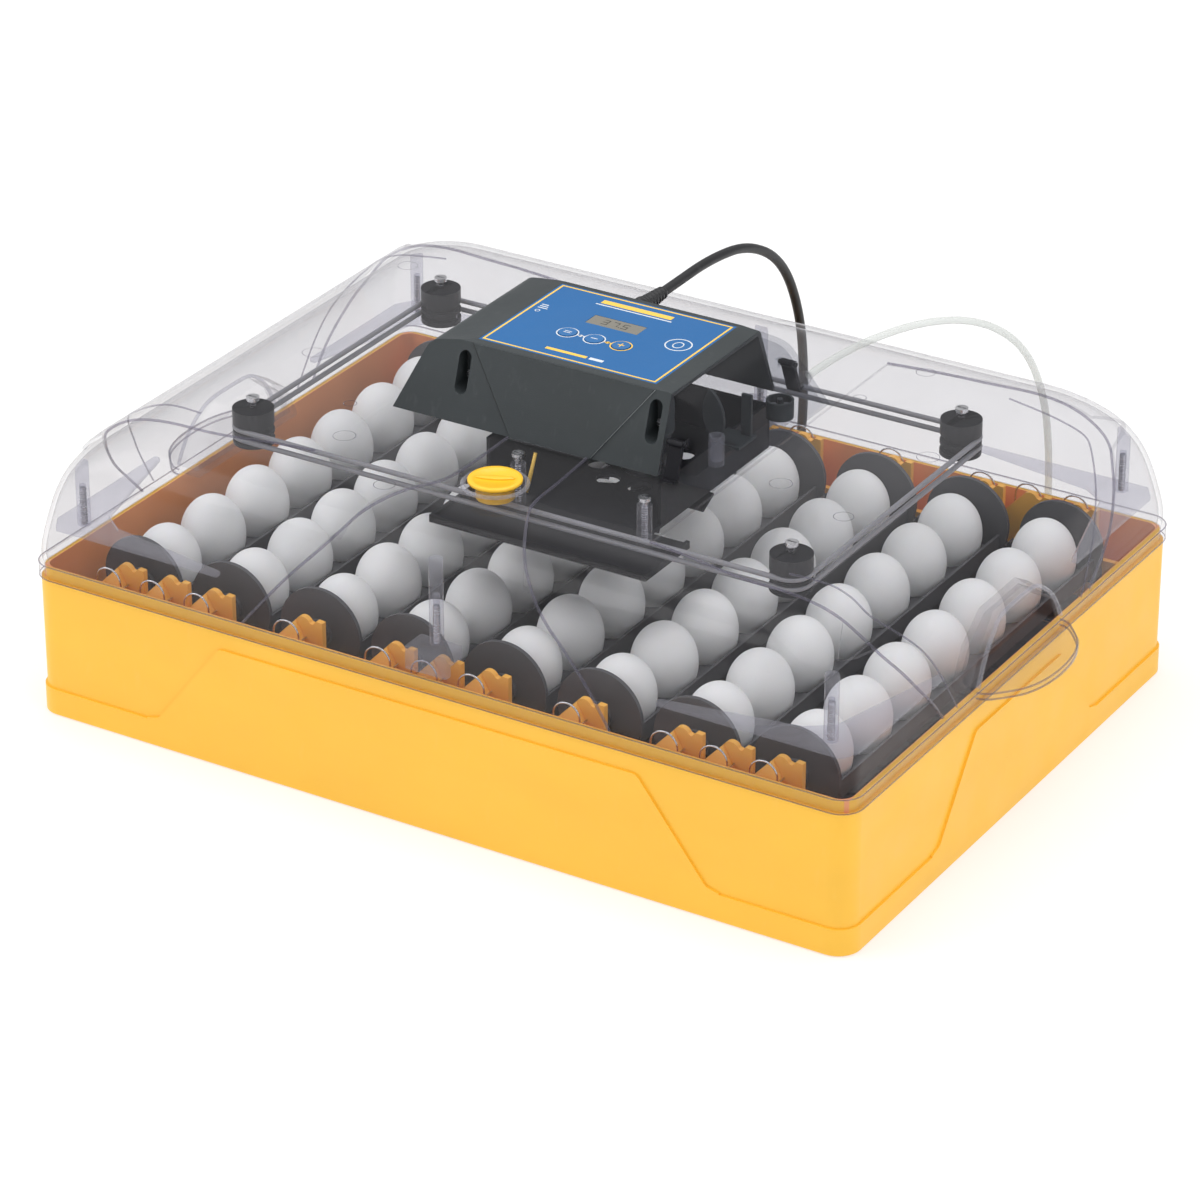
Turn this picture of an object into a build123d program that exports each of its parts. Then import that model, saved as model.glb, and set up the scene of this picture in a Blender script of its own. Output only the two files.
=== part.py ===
from build123d import *
import math
import os

# Tabletop forced-air egg incubator: a moulded tub, eight rocking egg carriers and a clear
# domed lid that carries the fan, the heater cord and the control module.
# Millimetres, +Z up, +X along the long side, -Y is the front. The origin is the middle of
# the footprint on the table.

# ---- driving dimensions ----
LENGTH = 600.0
WIDTH = 436.0
CORNER_R = 15.5
PROUD = 1.5
FOOT_GAP = 1.0
FOOT_R = 10.0
FOOT_PLACES = ((-240, -170), (-240, 170), (0, -170), (0, 170), (240, -170), (240, 170))
LEDGE_Z = 97.0
RIM_TOP = 104.7
SKIRT_Z = 19.0
PANEL_BEND = 6.0
PANEL_FLARE = 9.0
FLOOR_TOP = 6.0
CAVITY_X = 586.0
CAVITY_Y = 422.0
RIM_WALL = 3.0

BAND_LOW = 97.5
BAND_TOP = 108.0
LID_TOP = 202.0
LID_WALL = 3.0
LID_HALF_X = 297.0
LID_HALF_Y = 215.0
END_CURVE_X = 78.0
SHOULDER_R = 40.0
FLANK_LEAN = 6.0
LID_CORNER_R = 12.5
LID_CORNER_GROWTH = 27.5
RAISED = 2.0
OPENING = (-98.0, 98.0, -55.0, 65.0)
POCKET_HALF = 54.0
POCKET_TOP = 143.0

ROWS = 8
EGGS_PER_ROW = 7
ROW_PITCH = 68.5
EGG_PITCH = 50.0
AXIS_Z = 93.0
DISC_R = 30.0
DISC_Y = 176.0
STUB_R = 4.0
RUNNING = 0.06
EGG_R = 21.5
EGG_LOW = 30.0
EGG_HIGH = 26.5
EGG_WAIST = 1.0
ROUNDNESS = 0.5523

RESERVOIR_X = 500.0
RESERVOIR_Y = 340.0
RESERVOIR_H = 16.0
TRAY_Z = 46.0
TRAY_T = 2.0
RAIL_Y = 194.0
RAIL_T = 4.0
TAB_W = 32.0
TAB_TOP = 113.5
SLOPE_LOW = 97.0
SLOPE_TOP = 110.3
SLOPE_RUN = 12.2
CHEEK = 7.0
CHEEK_LOW = 86.0
WIRE_R = 0.6
WIRE_ARCH = 9.4
WIRE_TOP = 112.6

TOOTH_PITCH = ROW_PITCH / 11
PINION_TEETH = 14
PINION_R = PINION_TEETH * TOOTH_PITCH / (2 * math.pi)
ADDENDUM = 1.6
DEDENDUM = 2.2
TOOTH_W = 2.6
PRESSURE_ANGLE = 20.0
GEAR_Y = 185.0
GEAR_T = 6.0
RACK_LOW = 66.3

BOBBIN_X = 197.0
BOBBIN_Y = 110.0
BOBBIN_R = 13.5
BOBBIN_H = 24.0
GROOVE_R = 10.4
GROOVE_HALF = 2.1
GROOVES = (180.2, 186.6)
HEATER_D = 3.4
SCREW_BORE = 2.05

MODULE_TOP = 254.0
MODULE_WALL = 2.5
MODULE_BEVEL = 12.0
MODULE_FOOT_X = 118.0
MODULE_BEND_X = 98.0
MODULE_BEND_Z = 248.0
MODULE_FRONT = -68.0
MODULE_BACK = 80.0
SPLIT_X = 78.0
LABEL_X = 130.0
LABEL_Y = 100.0
LABEL_MID_Y = 2.0
LABEL_T = 0.6
BUTTON_X = (-22.0, -2.3, 17.4)
DISPLAY = (-21.0, 17.0, 8.6, 21.4)
BUTTON_Y = -11.0
BUTTON_R = 6.0

PLATE_Z = 168.0
PLATE_T = 3.0
PLATE_SIDES = (-46.0, 111.0, -137.0, 66.0)
PLATE_WALL = 2.5
PROBE_X = -28.0
PROBE_Y = -50.0
PROBE_R = 2.4
FAN_X = 32.0
FAN_Y = -4.0
FAN_R = 46.0

VENT_Y = -132.0
VENT_R = 15.0
VENT_GRIP = 12.5

POST_PLACES = ((-272.0, -194.0), (272.0, -194.0), (-272.0, 194.0), (272.0, 194.0))
MID_POST_Y = 200.0
POST_R = 4.5
PILLAR_PLACES = ((-9.0, -91.0), (88.0, -100.0))

LATCH_X = 90.0
LATCH_PIVOTS = ((-64.5, 226.0), (74.5, 226.0))
PUMP_X = 100.0
PUMP_Y = 47.0
WELL_X = (-71.0, 69.0)
WELL_Z = 233.0
WELL_LONG = 27.0
WELL_WIDE = 9.0

# ---- cord and tube: sizes, where they leave the lid, and the points their lines turn at ----
CORD_D = 6.6
TUBE_D = 5.0
GROMMET_X = -14.0
GROMMET_Z = 244.0
TUBE_X = 100.0
TUBE_Z = 216.0
MAINS_ROUTE = [
    (GROMMET_X, 78, GROMMET_Z), (GROMMET_X, 106, GROMMET_Z), (-12, 150, 246.5), (-9, 196, 241),
    (-5, 236, 216), (-2, 257, 170), (-1, 263, 118), (-3, 264, 70), (-9, 265, 34),
    (-26, 268, 11), (-52, 273, 4.2), (-82, 276, 3.9)]
COIL_X = -95.0
COIL_Y = 312.0
COIL_R = 36.0
COIL_HALF = 14.0
COIL_H = 2 * CORD_D
TAIL_ROUTE = [(-82, 348, 4.2), (-60, 348.6, 4.6), (-38, 348, 7), (-20, 348, 7)]
TUBE_ROUTE = [
    (TUBE_X, 84, TUBE_Z), (TUBE_X, 103, TUBE_Z), (116, 130, 226), (142, 162, 234), (166, 194, 228),
    (182, 226, 202), (189, 246, 160), (191, 254, 112), (190, 257, 66), (186, 262, 28),
    (172, 274, 8), (146, 286, 3.6), (120, 286, 3.6)]


def block(x0, x1, y0, y1, z0, z1):
    return Pos((x0 + x1) / 2, (y0 + y1) / 2, (z0 + z1) / 2) * Box(x1 - x0, y1 - y0, z1 - z0)


def post(x, y, z0, z1, r):
    return Pos(x, y, (z0 + z1) / 2) * Cylinder(r, z1 - z0)


def rod_y(x, z, y0, y1, r):
    return Pos(x, (y0 + y1) / 2, z) * Rot(90, 0, 0) * Cylinder(r, y1 - y0)


def rod_x(y, z, x0, x1, r):
    return Pos((x0 + x1) / 2, y, z) * Rot(0, 90, 0) * Cylinder(r, x1 - x0)


def slab_xy(points, z0, z1):
    return Pos(0, 0, z0) * extrude(make_face(Polyline(*points, close=True)), z1 - z0)


def slab_xz(points, y0, y1):
    """An outline drawn in XZ, run from y0 to y1."""
    face = make_face(Polyline(*[(x, 0, z) for x, z in points], close=True))
    return Pos(0, y0, 0) * extrude(face, y1 - y0, dir=(0, 1, 0))


def slab_yz(points, x0, x1):
    """An outline drawn in YZ, run from x0 to x1."""
    face = make_face(Polyline(*[(0, y, z) for y, z in points], close=True))
    return Pos(x0, 0, 0) * extrude(face, x1 - x0, dir=(1, 0, 0))


def rounded_slab(size_x, size_y, r, z0, z1):
    return Pos(0, 0, z0) * extrude(RectangleRounded(size_x, size_y, r), z1 - z0)


def save(name, *solids):
    shape = solids[0] if len(solids) == 1 else Compound(children=list(solids))
    export_step(shape, f"parts/{name}.step")


def mirror_x(solid):
    return mirror(solid, Plane.YZ)


def mirror_y(solid):
    return mirror(solid, Plane.XZ)


def row_x(index):
    return (index - (ROWS - 1) / 2) * ROW_PITCH


# ---- base ----
def raised_panel(half_low, half_high, top, plane, depth):
    """Proud field on one side of the tub: a trapezoid that grows out of the skirt."""
    low = SKIRT_Z - 1
    flare = PANEL_FLARE
    outline = Polyline(
        (-half_low - flare, low), (half_low + flare, low), (half_low + flare, low + 1.8),
        (half_low, low + 4), (half_high, top), (-half_high, top), (-half_low, low + 4),
        (-half_low - flare, low + 1.8), close=True)
    face = make_face(outline)
    eased = [v for v in face.vertices() if v.Y > low + 3]
    return plane * extrude(fillet(eased, PANEL_BEND), depth / 2, both=True)


def base_tub():
    """Double-thick yellow tub with a stepped rim, a low skirt and raised mid-face panels."""
    inner_x = LENGTH - 2 * PROUD
    inner_y = WIDTH - 2 * PROUD
    tub = rounded_slab(inner_x, inner_y, CORNER_R - PROUD, FOOT_GAP, LEDGE_Z)
    rim_x = CAVITY_X + 2 * RIM_WALL
    rim_y = CAVITY_Y + 2 * RIM_WALL
    tub += rounded_slab(rim_x, rim_y, CORNER_R - 3.5, LEDGE_Z - 1, RIM_TOP)
    tub += rounded_slab(LENGTH, WIDTH, CORNER_R, FOOT_GAP, SKIRT_Z)
    tub += raised_panel(202, 153, 85, Plane.XZ, WIDTH)
    tub += raised_panel(103, 58, 82, Plane.YZ, LENGTH)
    tub -= rounded_slab(CAVITY_X, CAVITY_Y, CORNER_R - 6.5, FLOOR_TOP, RIM_TOP + 1)
    for x, y in FOOT_PLACES:
        tub -= post(x, y, 0, FOOT_GAP + 2, FOOT_R + 0.5)
    return tub


def rubber_feet():
    return [post(x, y, 0, FOOT_GAP + 2, FOOT_R) for x, y in FOOT_PLACES]


def water_tray():
    """Shallow reservoir on the tub floor, split into two channels."""
    low = FLOOR_TOP
    tray = rounded_slab(RESERVOIR_X, RESERVOIR_Y, 14, low, low + RESERVOIR_H)
    for side in (-1, 1):
        channel = rounded_slab(RESERVOIR_X - 5, RESERVOIR_Y / 2 - 5, 11.5, low + 2, low + 17)
        tray -= Pos(0, side * (RESERVOIR_Y / 4 - 1), 0) * channel
    return tray


def floor_tray():
    """Slotted floor above the water, on six legs."""
    tray = rounded_slab(CAVITY_X - 4, CAVITY_Y - 4, 8, TRAY_Z, TRAY_Z + TRAY_T)
    slots = []
    for i in range(13):
        for j in range(9):
            slot = extrude(SlotOverall(30, 5), TRAY_T + 2)
            slots.append(Pos((i - 6) * 40, (j - 4) * 38, TRAY_Z - 1) * slot)
    tray -= slots
    for x in (-278, 0, 278):
        for y in (-196, 196):
            tray += block(x - 5, x + 5, y - 5, y + 5, FLOOR_TOP, TRAY_Z + 1)
    return tray


def tab(x, with_bore, with_cheek=True):
    """One bearing tab of a rail, drawn at the front rail: a slope, a hump and a corner peak on top."""
    y0 = -RAIL_Y - RAIL_T
    y1 = -RAIL_Y
    left = x - TAB_W / 2
    right = x + TAB_W / 2
    low = 74.0
    hump_x = left + 17.4
    body = slab_xz(
        [(left, low), (left, SLOPE_LOW), (left + SLOPE_RUN, SLOPE_TOP), (left + 22.5, SLOPE_TOP),
         (left + 24.6, 109.6), (left + 27.4, 112.6), (right, 112.2), (right, low)], y0, y1)
    body += rod_y(hump_x, TAB_TOP - 5.5, y0, y1, 5.5)
    if with_cheek:
        # a leaning facet stands out of the tab's left half, in front of it
        facet = slab_xz(
            [(left, CHEEK_LOW), (left, SLOPE_LOW), (left + SLOPE_RUN, SLOPE_TOP), (left + 18.6, 99),
             (left + 18.6, CHEEK_LOW)], y0 - CHEEK, y0)
        lean = slab_yz(
            [(y0 - CHEEK, CHEEK_LOW), (y0, CHEEK_LOW), (y0, SLOPE_TOP + 1.5), (y0 - CHEEK, SLOPE_LOW)],
            left - 1, right)
        body += facet & lean
    if with_bore:
        body -= rod_y(x, AXIS_Z, y0 - 12, y1 + 1, STUB_R + RUNNING)
    return body


def wire_clip(x):
    """Bent spring wire that arches over the left part of a tab."""
    face = -RAIL_Y - RAIL_T
    y_out = face - CHEEK - 1.4
    low = WIRE_TOP - 13.0
    foot = WIRE_TOP - 17.0
    left = x - TAB_W / 2 + 0.9
    right = left + 2 * WIRE_ARCH
    corners = [(left, face - 3.5, foot), (left, y_out, foot), (left, y_out, WIRE_TOP),
               (right, y_out, WIRE_TOP), (right, y_out, low), (right, face + 1.5, low)]
    bend = WIRE_ARCH - 0.1
    path = FilletPolyline(*corners, radius=[1.2, bend, bend, 1.2])
    return sweep(Plane(origin=path @ 0, z_dir=path % 0) * Circle(WIRE_R), path=path)


def tab_places():
    """Eight bearing tabs, one under each row's axis, and three plain ones between rows."""
    places = [(row_x(i), True) for i in range(ROWS)]
    for x in (-3 * ROW_PITCH, 0.0, 3 * ROW_PITCH):
        places.append((x, False))
    return places


def bearing_rail(middle_cheek=True):
    low = TRAY_Z + TRAY_T
    rail = block(-286, 286, -RAIL_Y - RAIL_T, -RAIL_Y, low, 78)
    rail += block(-286, 286, -RAIL_Y - 12, -RAIL_Y, low, low + 3)
    for x, bore in tab_places():
        rail += tab(x, bore, middle_cheek or x != 0)
    return rail


def rear_rail():
    """Rear rail: the same tabs, and a shelf that the turning rack slides on."""
    rail = mirror_y(bearing_rail(middle_cheek=False))
    low = TRAY_Z + TRAY_T
    for x in (-205.5, -68.5, 68.5, 205.5):
        rail += block(x - 12, x + 12, 179.5, RAIL_Y + 1, RACK_LOW - 4.3, RACK_LOW - 0.3)
        rail += block(x - 12, x + 12, 179.5, 181.7, RACK_LOW - 4.3, RACK_LOW + 5)
        rail += block(x - 12, x + 12, 188.3, RAIL_Y + 1, RACK_LOW - 4.3, RACK_LOW + 5)
        rail += block(x - 3, x + 3, 181, RAIL_Y + 1, low, RACK_LOW - 3)
    rail -= rod_y(0, AXIS_Z, RAIL_Y - 20, RAIL_Y + 20, 5.0)
    return rail


# ---- egg turning ----
def tooth(tip_r, root_r, pitch_r, width):
    """A straight-flanked tooth that points down from a wheel at the origin."""
    slope = math.tan(math.radians(PRESSURE_ANGLE))
    tip = width / 2 - (tip_r - pitch_r) * slope
    root = width / 2 + (pitch_r - root_r) * slope
    return [(-root, -root_r + 0.6), (-tip, -tip_r), (tip, -tip_r), (root, -root_r + 0.6)]


def pinion(phase=0.0):
    """Fourteen-tooth pinion about the Y axis at the origin; phase 0 has a tooth straight down."""
    root_r = PINION_R - DEDENDUM
    wheel = rod_y(0, 0, -GEAR_T / 2, GEAR_T / 2, root_r)
    outline = tooth(PINION_R + ADDENDUM, root_r, PINION_R, TOOTH_W)
    one = slab_xz(outline, -GEAR_T / 2, GEAR_T / 2)
    for i in range(PINION_TEETH):
        wheel += Rot(0, phase + i * 360 / PINION_TEETH, 0) * one
    return wheel


def egg_carrier():
    """One carrier about the Y axis at the origin.

    Two end discs, a holed plate with side walls, bearing stubs and a pinion.
    """
    plate_z = -17.0
    plate = block(-24.5, 24.5, -DISC_Y, DISC_Y, plate_z, plate_z + 2)
    holes = []
    for k in range(EGGS_PER_ROW):
        holes.append(post(0, (k - 3) * EGG_PITCH, plate_z - 1, plate_z + 3, 18.3))
    plate -= holes
    carrier = plate
    for side in (-1, 1):
        wall_x = side * 23.6
        carrier += block(wall_x - 1, wall_x + 1, -DISC_Y, DISC_Y, plate_z, -5)
        keel_x = side * 21.0
        carrier += block(keel_x - 1, keel_x + 1, -DISC_Y, DISC_Y, -20.5, plate_z + 1)
    for side in (-1, 1):
        carrier += rod_y(0, 0, side * DISC_Y - 1.5, side * DISC_Y + 1.5, DISC_R)
    carrier += rod_y(0, 0, -RAIL_Y - RAIL_T - 1, -DISC_Y, STUB_R)
    carrier += rod_y(0, 0, DISC_Y, RAIL_Y + RAIL_T + 1, STUB_R)
    carrier += rod_y(0, 0, -DISC_Y - 4, -DISC_Y, 9)
    carrier += rod_y(0, 0, DISC_Y, DISC_Y + 4, 9)
    carrier += Pos(0, GEAR_Y, 0) * pinion()
    return carrier


def egg():
    """Egg with its narrow end down; its widest ring is just above the axis."""
    low = EGG_WAIST - EGG_LOW
    high = EGG_WAIST + EGG_HIGH
    pull_r = EGG_R * ROUNDNESS
    narrow = Bezier(
        (0, 0, low), (pull_r, 0, low), (EGG_R, 0, EGG_WAIST - EGG_LOW * ROUNDNESS), (EGG_R, 0, EGG_WAIST))
    broad = Bezier(
        (EGG_R, 0, EGG_WAIST), (EGG_R, 0, EGG_WAIST + EGG_HIGH * ROUNDNESS),
        (pull_r, 0, high), (0, 0, high))
    return revolve(make_face([narrow, broad, Line((0, 0, high), (0, 0, low))]), Axis.Z)


def egg_row(index):
    one = egg()
    eggs = []
    for k in range(EGGS_PER_ROW):
        eggs.append(Pos(row_x(index), (k - 3) * EGG_PITCH, AXIS_Z) * one)
    return eggs


def turning_rack():
    """Toothed bar under the pinions; a gap lies under each row's axis."""
    pitch_z = AXIS_Z - PINION_R
    root_z = pitch_z - DEDENDUM
    tip_z = pitch_z + ADDENDUM
    slope = math.tan(math.radians(PRESSURE_ANGLE))
    tip = TOOTH_W / 2 - ADDENDUM * slope
    root = TOOTH_W / 2 + DEDENDUM * slope
    half = 42
    points = [(-(half + 0.5) * TOOTH_PITCH, RACK_LOW), ((half + 0.5) * TOOTH_PITCH, RACK_LOW)]
    for k in range(half, -half - 1, -1):
        x = k * TOOTH_PITCH
        points += [(x + root, root_z), (x + tip, tip_z), (x - tip, tip_z), (x - root, root_z)]
    return slab_xz(points, GEAR_Y - GEAR_T / 2, GEAR_Y + GEAR_T / 2)


def drive_pinion():
    wheel = pinion(180 / PINION_TEETH)
    wheel += rod_y(0, 0, -GEAR_T / 2, RAIL_Y + 10 - GEAR_Y, 3.0)
    return Pos(0, GEAR_Y, AXIS_Z) * wheel


def turning_motor():
    """Flat geared motor behind the rear rail; its shaft is the drive pinion's."""
    back = RAIL_Y + RAIL_T
    body = rod_y(0, AXIS_Z, back, back + 10, 17.5)
    body += block(-24, 17.6, back, back + 4, AXIS_Z - 8, AXIS_Z + 8)
    body += block(-9, 9, back, back + 9, AXIS_Z - 26, AXIS_Z - 10)
    body -= rod_y(0, AXIS_Z, back - 1, back + 7, 3.0 + RUNNING)
    return body


# ---- lid ----
def half_length(z, inset):
    share = (z - BAND_TOP) / (LID_TOP - inset - BAND_TOP)
    rise = max(0.0, 1 - min(1.0, share) ** 2.5)
    return LID_HALF_X - END_CURVE_X + (END_CURVE_X - inset) * rise ** 0.4


def half_width(z, inset):
    shoulder_z = LID_TOP - SHOULDER_R
    flank = LID_HALF_Y - FLANK_LEAN
    if z <= shoulder_z:
        return LID_HALF_Y - FLANK_LEAN * (z - BAND_TOP) / (shoulder_z - BAND_TOP) - inset
    r = SHOULDER_R - inset
    rise = min(1.0, (z - shoulder_z) / r)
    return flank - SHOULDER_R + r * math.sqrt(1 - rise * rise)


def dome(inset):
    """The lid's smooth body from the band up; inset moves its surface inwards."""
    sections = []
    height = LID_TOP - inset - BAND_TOP
    for degrees in (0, 12, 25, 40, 55, 70, 82, 90):
        share = math.sin(math.radians(degrees)) ** 0.8
        z = BAND_TOP + height * share
        r = LID_CORNER_R + LID_CORNER_GROWTH * share * share - inset
        outline = RectangleRounded(2 * half_length(z, inset), 2 * half_width(z, inset), r)
        sections.append(Pos(0, 0, z) * outline)
    return loft(sections)


def front_apron():
    """Region of the raised apron: narrow on top by the module, wide at the front band."""
    top = slab_xy(
        [(-29, -71), (29, -71), (31, -141), (66, -205), (300, -212), (300, -240),
         (-300, -240), (-300, -212), (-66, -205), (-31, -141)], 100, 230)
    wall = slab_xz(
        [(-135, BAND_TOP), (135, BAND_TOP), (100, 150), (68, 186), (300, 196), (300, 230),
         (-300, 230), (-300, 196), (-68, 186), (-100, 150)], -240, -60)
    return top & wall


def end_apron():
    """Region of the raised field on the right end: wide on top, narrow at the handle."""
    top = slab_xy(
        [(122, -150), (190, -160), (262, -164), (290, -230), (320, -230),
         (320, 230), (290, 230), (262, 164), (190, 160), (122, 150)], 100, 230)
    wall = slab_yz(
        [(-98, BAND_TOP), (98, BAND_TOP), (128, 140), (158, 178), (240, 190), (240, 230),
         (-240, 230), (-240, 190), (-158, 178), (-128, 140)], 100, 320)
    return top & wall


def arch(half, top, x0, x1):
    """Finger pocket outline in the end wall, above the band."""
    outline = [(-half, BAND_TOP), (half, BAND_TOP), (half * 0.8, top - 16), (half * 0.42, top),
               (-half * 0.42, top), (-half * 0.8, top - 16)]
    return slab_yz(outline, x0, x1)


def handle_lip():
    """Flat grip tongue that stands out of the band at the right end."""
    edge = [(296, -57), (304, -57), (321, -37)]
    line = Polyline(*edge)
    bow = ThreePointArc((321, -37), (329, 0), (321, 37))
    back = Polyline((321, 37), (304, 57), (296, 57), (296, -57))
    return Pos(0, 0, 102.5) * extrude(make_face([line, bow, back]), 4.5)


def lid_shell():
    shell = dome(0)
    raised = dome(-RAISED)
    shell += raised & front_apron()
    end_field = raised & end_apron()
    shell += end_field
    shell += mirror_x(end_field)
    pocket = arch(POCKET_HALF, POCKET_TOP, 284, 330)
    shell -= pocket
    shell -= mirror_x(pocket)
    hollow = dome(LID_WALL)
    backing = arch(POCKET_HALF + LID_WALL, POCKET_TOP + LID_WALL, 281, 330)
    hollow -= backing
    hollow -= mirror_x(backing)
    shell -= hollow
    low = RIM_TOP + 0.3
    band = rounded_slab(LENGTH, WIDTH, CORNER_R, BAND_LOW, BAND_TOP)
    band -= rounded_slab(LENGTH - 7, WIDTH - 7, CORNER_R - 3.5, BAND_LOW - 1, low)
    band -= rounded_slab(
        2 * (LID_HALF_X - LID_WALL), 2 * (LID_HALF_Y - LID_WALL), LID_CORNER_R - LID_WALL,
        low - 1, BAND_TOP + 1)
    lip = handle_lip() - block(280, 297, -80, 80, 90, 120)
    pocket_floor = block(281, 297, -57, 57, low, BAND_TOP)
    band += lip + pocket_floor
    band += mirror_x(lip) + mirror_x(pocket_floor)
    shell += band
    shell -= block(*OPENING, 190, 210)
    ring_top = LID_TOP + RAISED + 1.8
    shell += post(0, VENT_Y, LID_TOP, ring_top, VENT_R + 3.4)
    shell -= post(0, VENT_Y, LID_TOP + RAISED + 0.1, ring_top + 1, VENT_R + 0.5)
    shell -= post(0, VENT_Y, 190, LID_TOP + RAISED + 0.1, 12.6)
    for x in (-BOBBIN_X, BOBBIN_X):
        for y in (-BOBBIN_Y, BOBBIN_Y):
            shell -= post(x, y, 190, 210, SCREW_BORE)
    for x, y in PILLAR_PLACES:
        shell -= post(x, y, 190, 210, SCREW_BORE)
    return shell


def vent_plug():
    """Turning vent cap: a disc with a finger ridge, a skirt and an air slot."""
    seat = LID_TOP + RAISED + 0.4
    cap = post(0, VENT_Y, seat, seat + 3.2, VENT_R)
    cap += post(0, VENT_Y, 195, seat + 1, 12.3) - post(0, VENT_Y, 194, seat, 10.3)
    lens = make_face([
        ThreePointArc((-VENT_GRIP, 0, 0), (0, 3.4, 0), (VENT_GRIP, 0, 0)),
        ThreePointArc((VENT_GRIP, 0, 0), (0, -3.4, 0), (-VENT_GRIP, 0, 0))])
    cap += Pos(0, VENT_Y, seat + 2) * Rot(0, 0, 25) * extrude(lens, 2.8)
    cap -= block(-14, 14, VENT_Y - 2.5, VENT_Y + 2.5, 193, 199)
    return cap


def lid_ledges():
    """Flat gussets in the lid's corners and a block at each side's middle, under the posts."""
    ledges = []
    for sx in (-1, 1):
        for sy in (-1, 1):
            outline = [(160, 207), (160, 203), (250, 188), (266, 176), (288, 90), (292, 90),
                       (292, 196), (285, 207)]
            shape = slab_xy([(sx * x, sy * y) for x, y in outline], 129, 132)
            ledges.append(shape)
    for sy in (-1, 1):
        seat = block(-15, 15, -213, -195, 115.2, 124) + block(-15, 15, -213, -208.3, 108.2, 116)
        ledges.append(seat if sy < 0 else mirror_y(seat))
    return ledges


def lid_posts():
    """Clear screw posts that run up into the lid's curve, at the corners and the long sides' middles."""
    inside = dome(LID_WALL + 0.05)
    posts = []
    for x, y in POST_PLACES:
        posts.append((post(x, y, 132, 176, POST_R) & inside) - post(x, y, 131, 160, 2.1))
    for sy in (-1, 1):
        column = post(0, sy * MID_POST_Y, 124, 182, POST_R) & inside
        posts.append(column - post(0, sy * MID_POST_Y, 123, 158, 2.1))
    return posts


def post_screws():
    screws = []
    for x, y in POST_PLACES:
        screws.append(post(x, y, 132.2, 158, 2.0))
    for sy in (-1, 1):
        screws.append(post(0, sy * MID_POST_Y, 124.2, 150, 2.0))
    return screws


def bobbin(x, y):
    """Grooved reel that hangs from the lid and guides the heater cord."""
    top = LID_TOP - LID_WALL
    low = top - BOBBIN_H
    reel = post(x, y, low, top, BOBBIN_R)
    for z in GROOVES:
        ring = post(x, y, z - GROOVE_HALF, z + GROOVE_HALF, BOBBIN_R + 1)
        reel -= ring - post(x, y, z - 3, z + 3, GROOVE_R)
    reel -= post(x, y, low + 6, top + 1, SCREW_BORE)
    return reel


def bobbins():
    return [bobbin(x, y) for x in (-BOBBIN_X, BOBBIN_X) for y in (-BOBBIN_Y, BOBBIN_Y)]


def bobbin_screws():
    screws = []
    for x in (-BOBBIN_X, BOBBIN_X):
        for y in (-BOBBIN_Y, BOBBIN_Y):
            head = post(x, y, LID_TOP + RAISED, LID_TOP + RAISED + 2.6, 4.2)
            head -= block(x - 3, x + 3, y - 0.6, y + 0.6, LID_TOP + RAISED + 1.4, LID_TOP + RAISED + 4)
            screws.append(head + post(x, y, 184, LID_TOP + RAISED + 1, 2.0))
    return screws


def heater_cord():
    """Two closed turns of heating cord, pulled tight round the four bobbins."""
    turns = []
    r = GROOVE_R + HEATER_D / 2 + 0.15
    for z in GROOVES:
        size_x = 2 * (BOBBIN_X + r)
        size_y = 2 * (BOBBIN_Y + r)
        loop = Pos(0, 0, z) * RectangleRounded(size_x, size_y, r)
        path = loop.faces()[0].outer_wire()
        start = Plane(origin=path @ 0, z_dir=path % 0)
        turns.append(sweep(start * Circle(HEATER_D / 2), path=path))
    return turns


# ---- fan and its plate, under the module ----
def fan_plate():
    """Black plate under the opening in the lid, with walls up to the lid round the module."""
    x0, x1, y0, y1 = PLATE_SIDES
    top = LID_TOP - LID_WALL
    plate = block(x0, x1, y0, y1, PLATE_Z, PLATE_Z + PLATE_T)
    in_x0, in_x1, in_y1 = x0 + PLATE_WALL, x1 - PLATE_WALL, y1 - PLATE_WALL
    wall = block(x0, x1, -70, y1, PLATE_Z, top) - block(in_x0, in_x1, -90, in_y1, PLATE_Z, top + 1)
    kerb = block(x0, x1, y0, y1, PLATE_Z, PLATE_Z + 5)
    kerb -= block(in_x0, in_x1, y0 + PLATE_WALL, in_y1, PLATE_Z, PLATE_Z + 6)
    plate += wall
    plate += kerb
    for i in range(8):
        angle = math.radians(22.5 + 45 * i)
        x = FAN_X + 30 * math.cos(angle)
        y = FAN_Y + 30 * math.sin(angle)
        plate -= post(x, y, PLATE_Z - 1, PLATE_Z + PLATE_T + 1, 8)
    plate -= post(FAN_X, FAN_Y, PLATE_Z - 1, PLATE_Z + PLATE_T + 1, 2.5 + RUNNING)
    for x, y in PILLAR_PLACES:
        plate -= post(x, y, PLATE_Z - 1, PLATE_Z + PLATE_T + 1, 1.7)
    return plate


def fan_motor():
    low = PLATE_Z + PLATE_T
    body = post(FAN_X, FAN_Y, low, low + 24, 16)
    body += post(FAN_X, FAN_Y, low + 24, low + 27, 6)
    body -= post(FAN_X, FAN_Y, low - 1, low + 10, 2.5 + RUNNING)
    return body


def fan_rotor():
    """Seven-bladed stirring fan below the plate."""
    rotor = post(FAN_X, FAN_Y, 150, 165, 10)
    rotor += post(FAN_X, FAN_Y, 150, PLATE_Z + 9, 2.5)
    blade = Pos((FAN_R + 8) / 2, 0, 157) * Rot(28, 0, 0) * Box(FAN_R - 8, 15, 1.6)
    for i in range(7):
        rotor += Pos(FAN_X, FAN_Y, 0) * Rot(0, 0, i * 360 / 7) * blade
    return rotor


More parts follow.
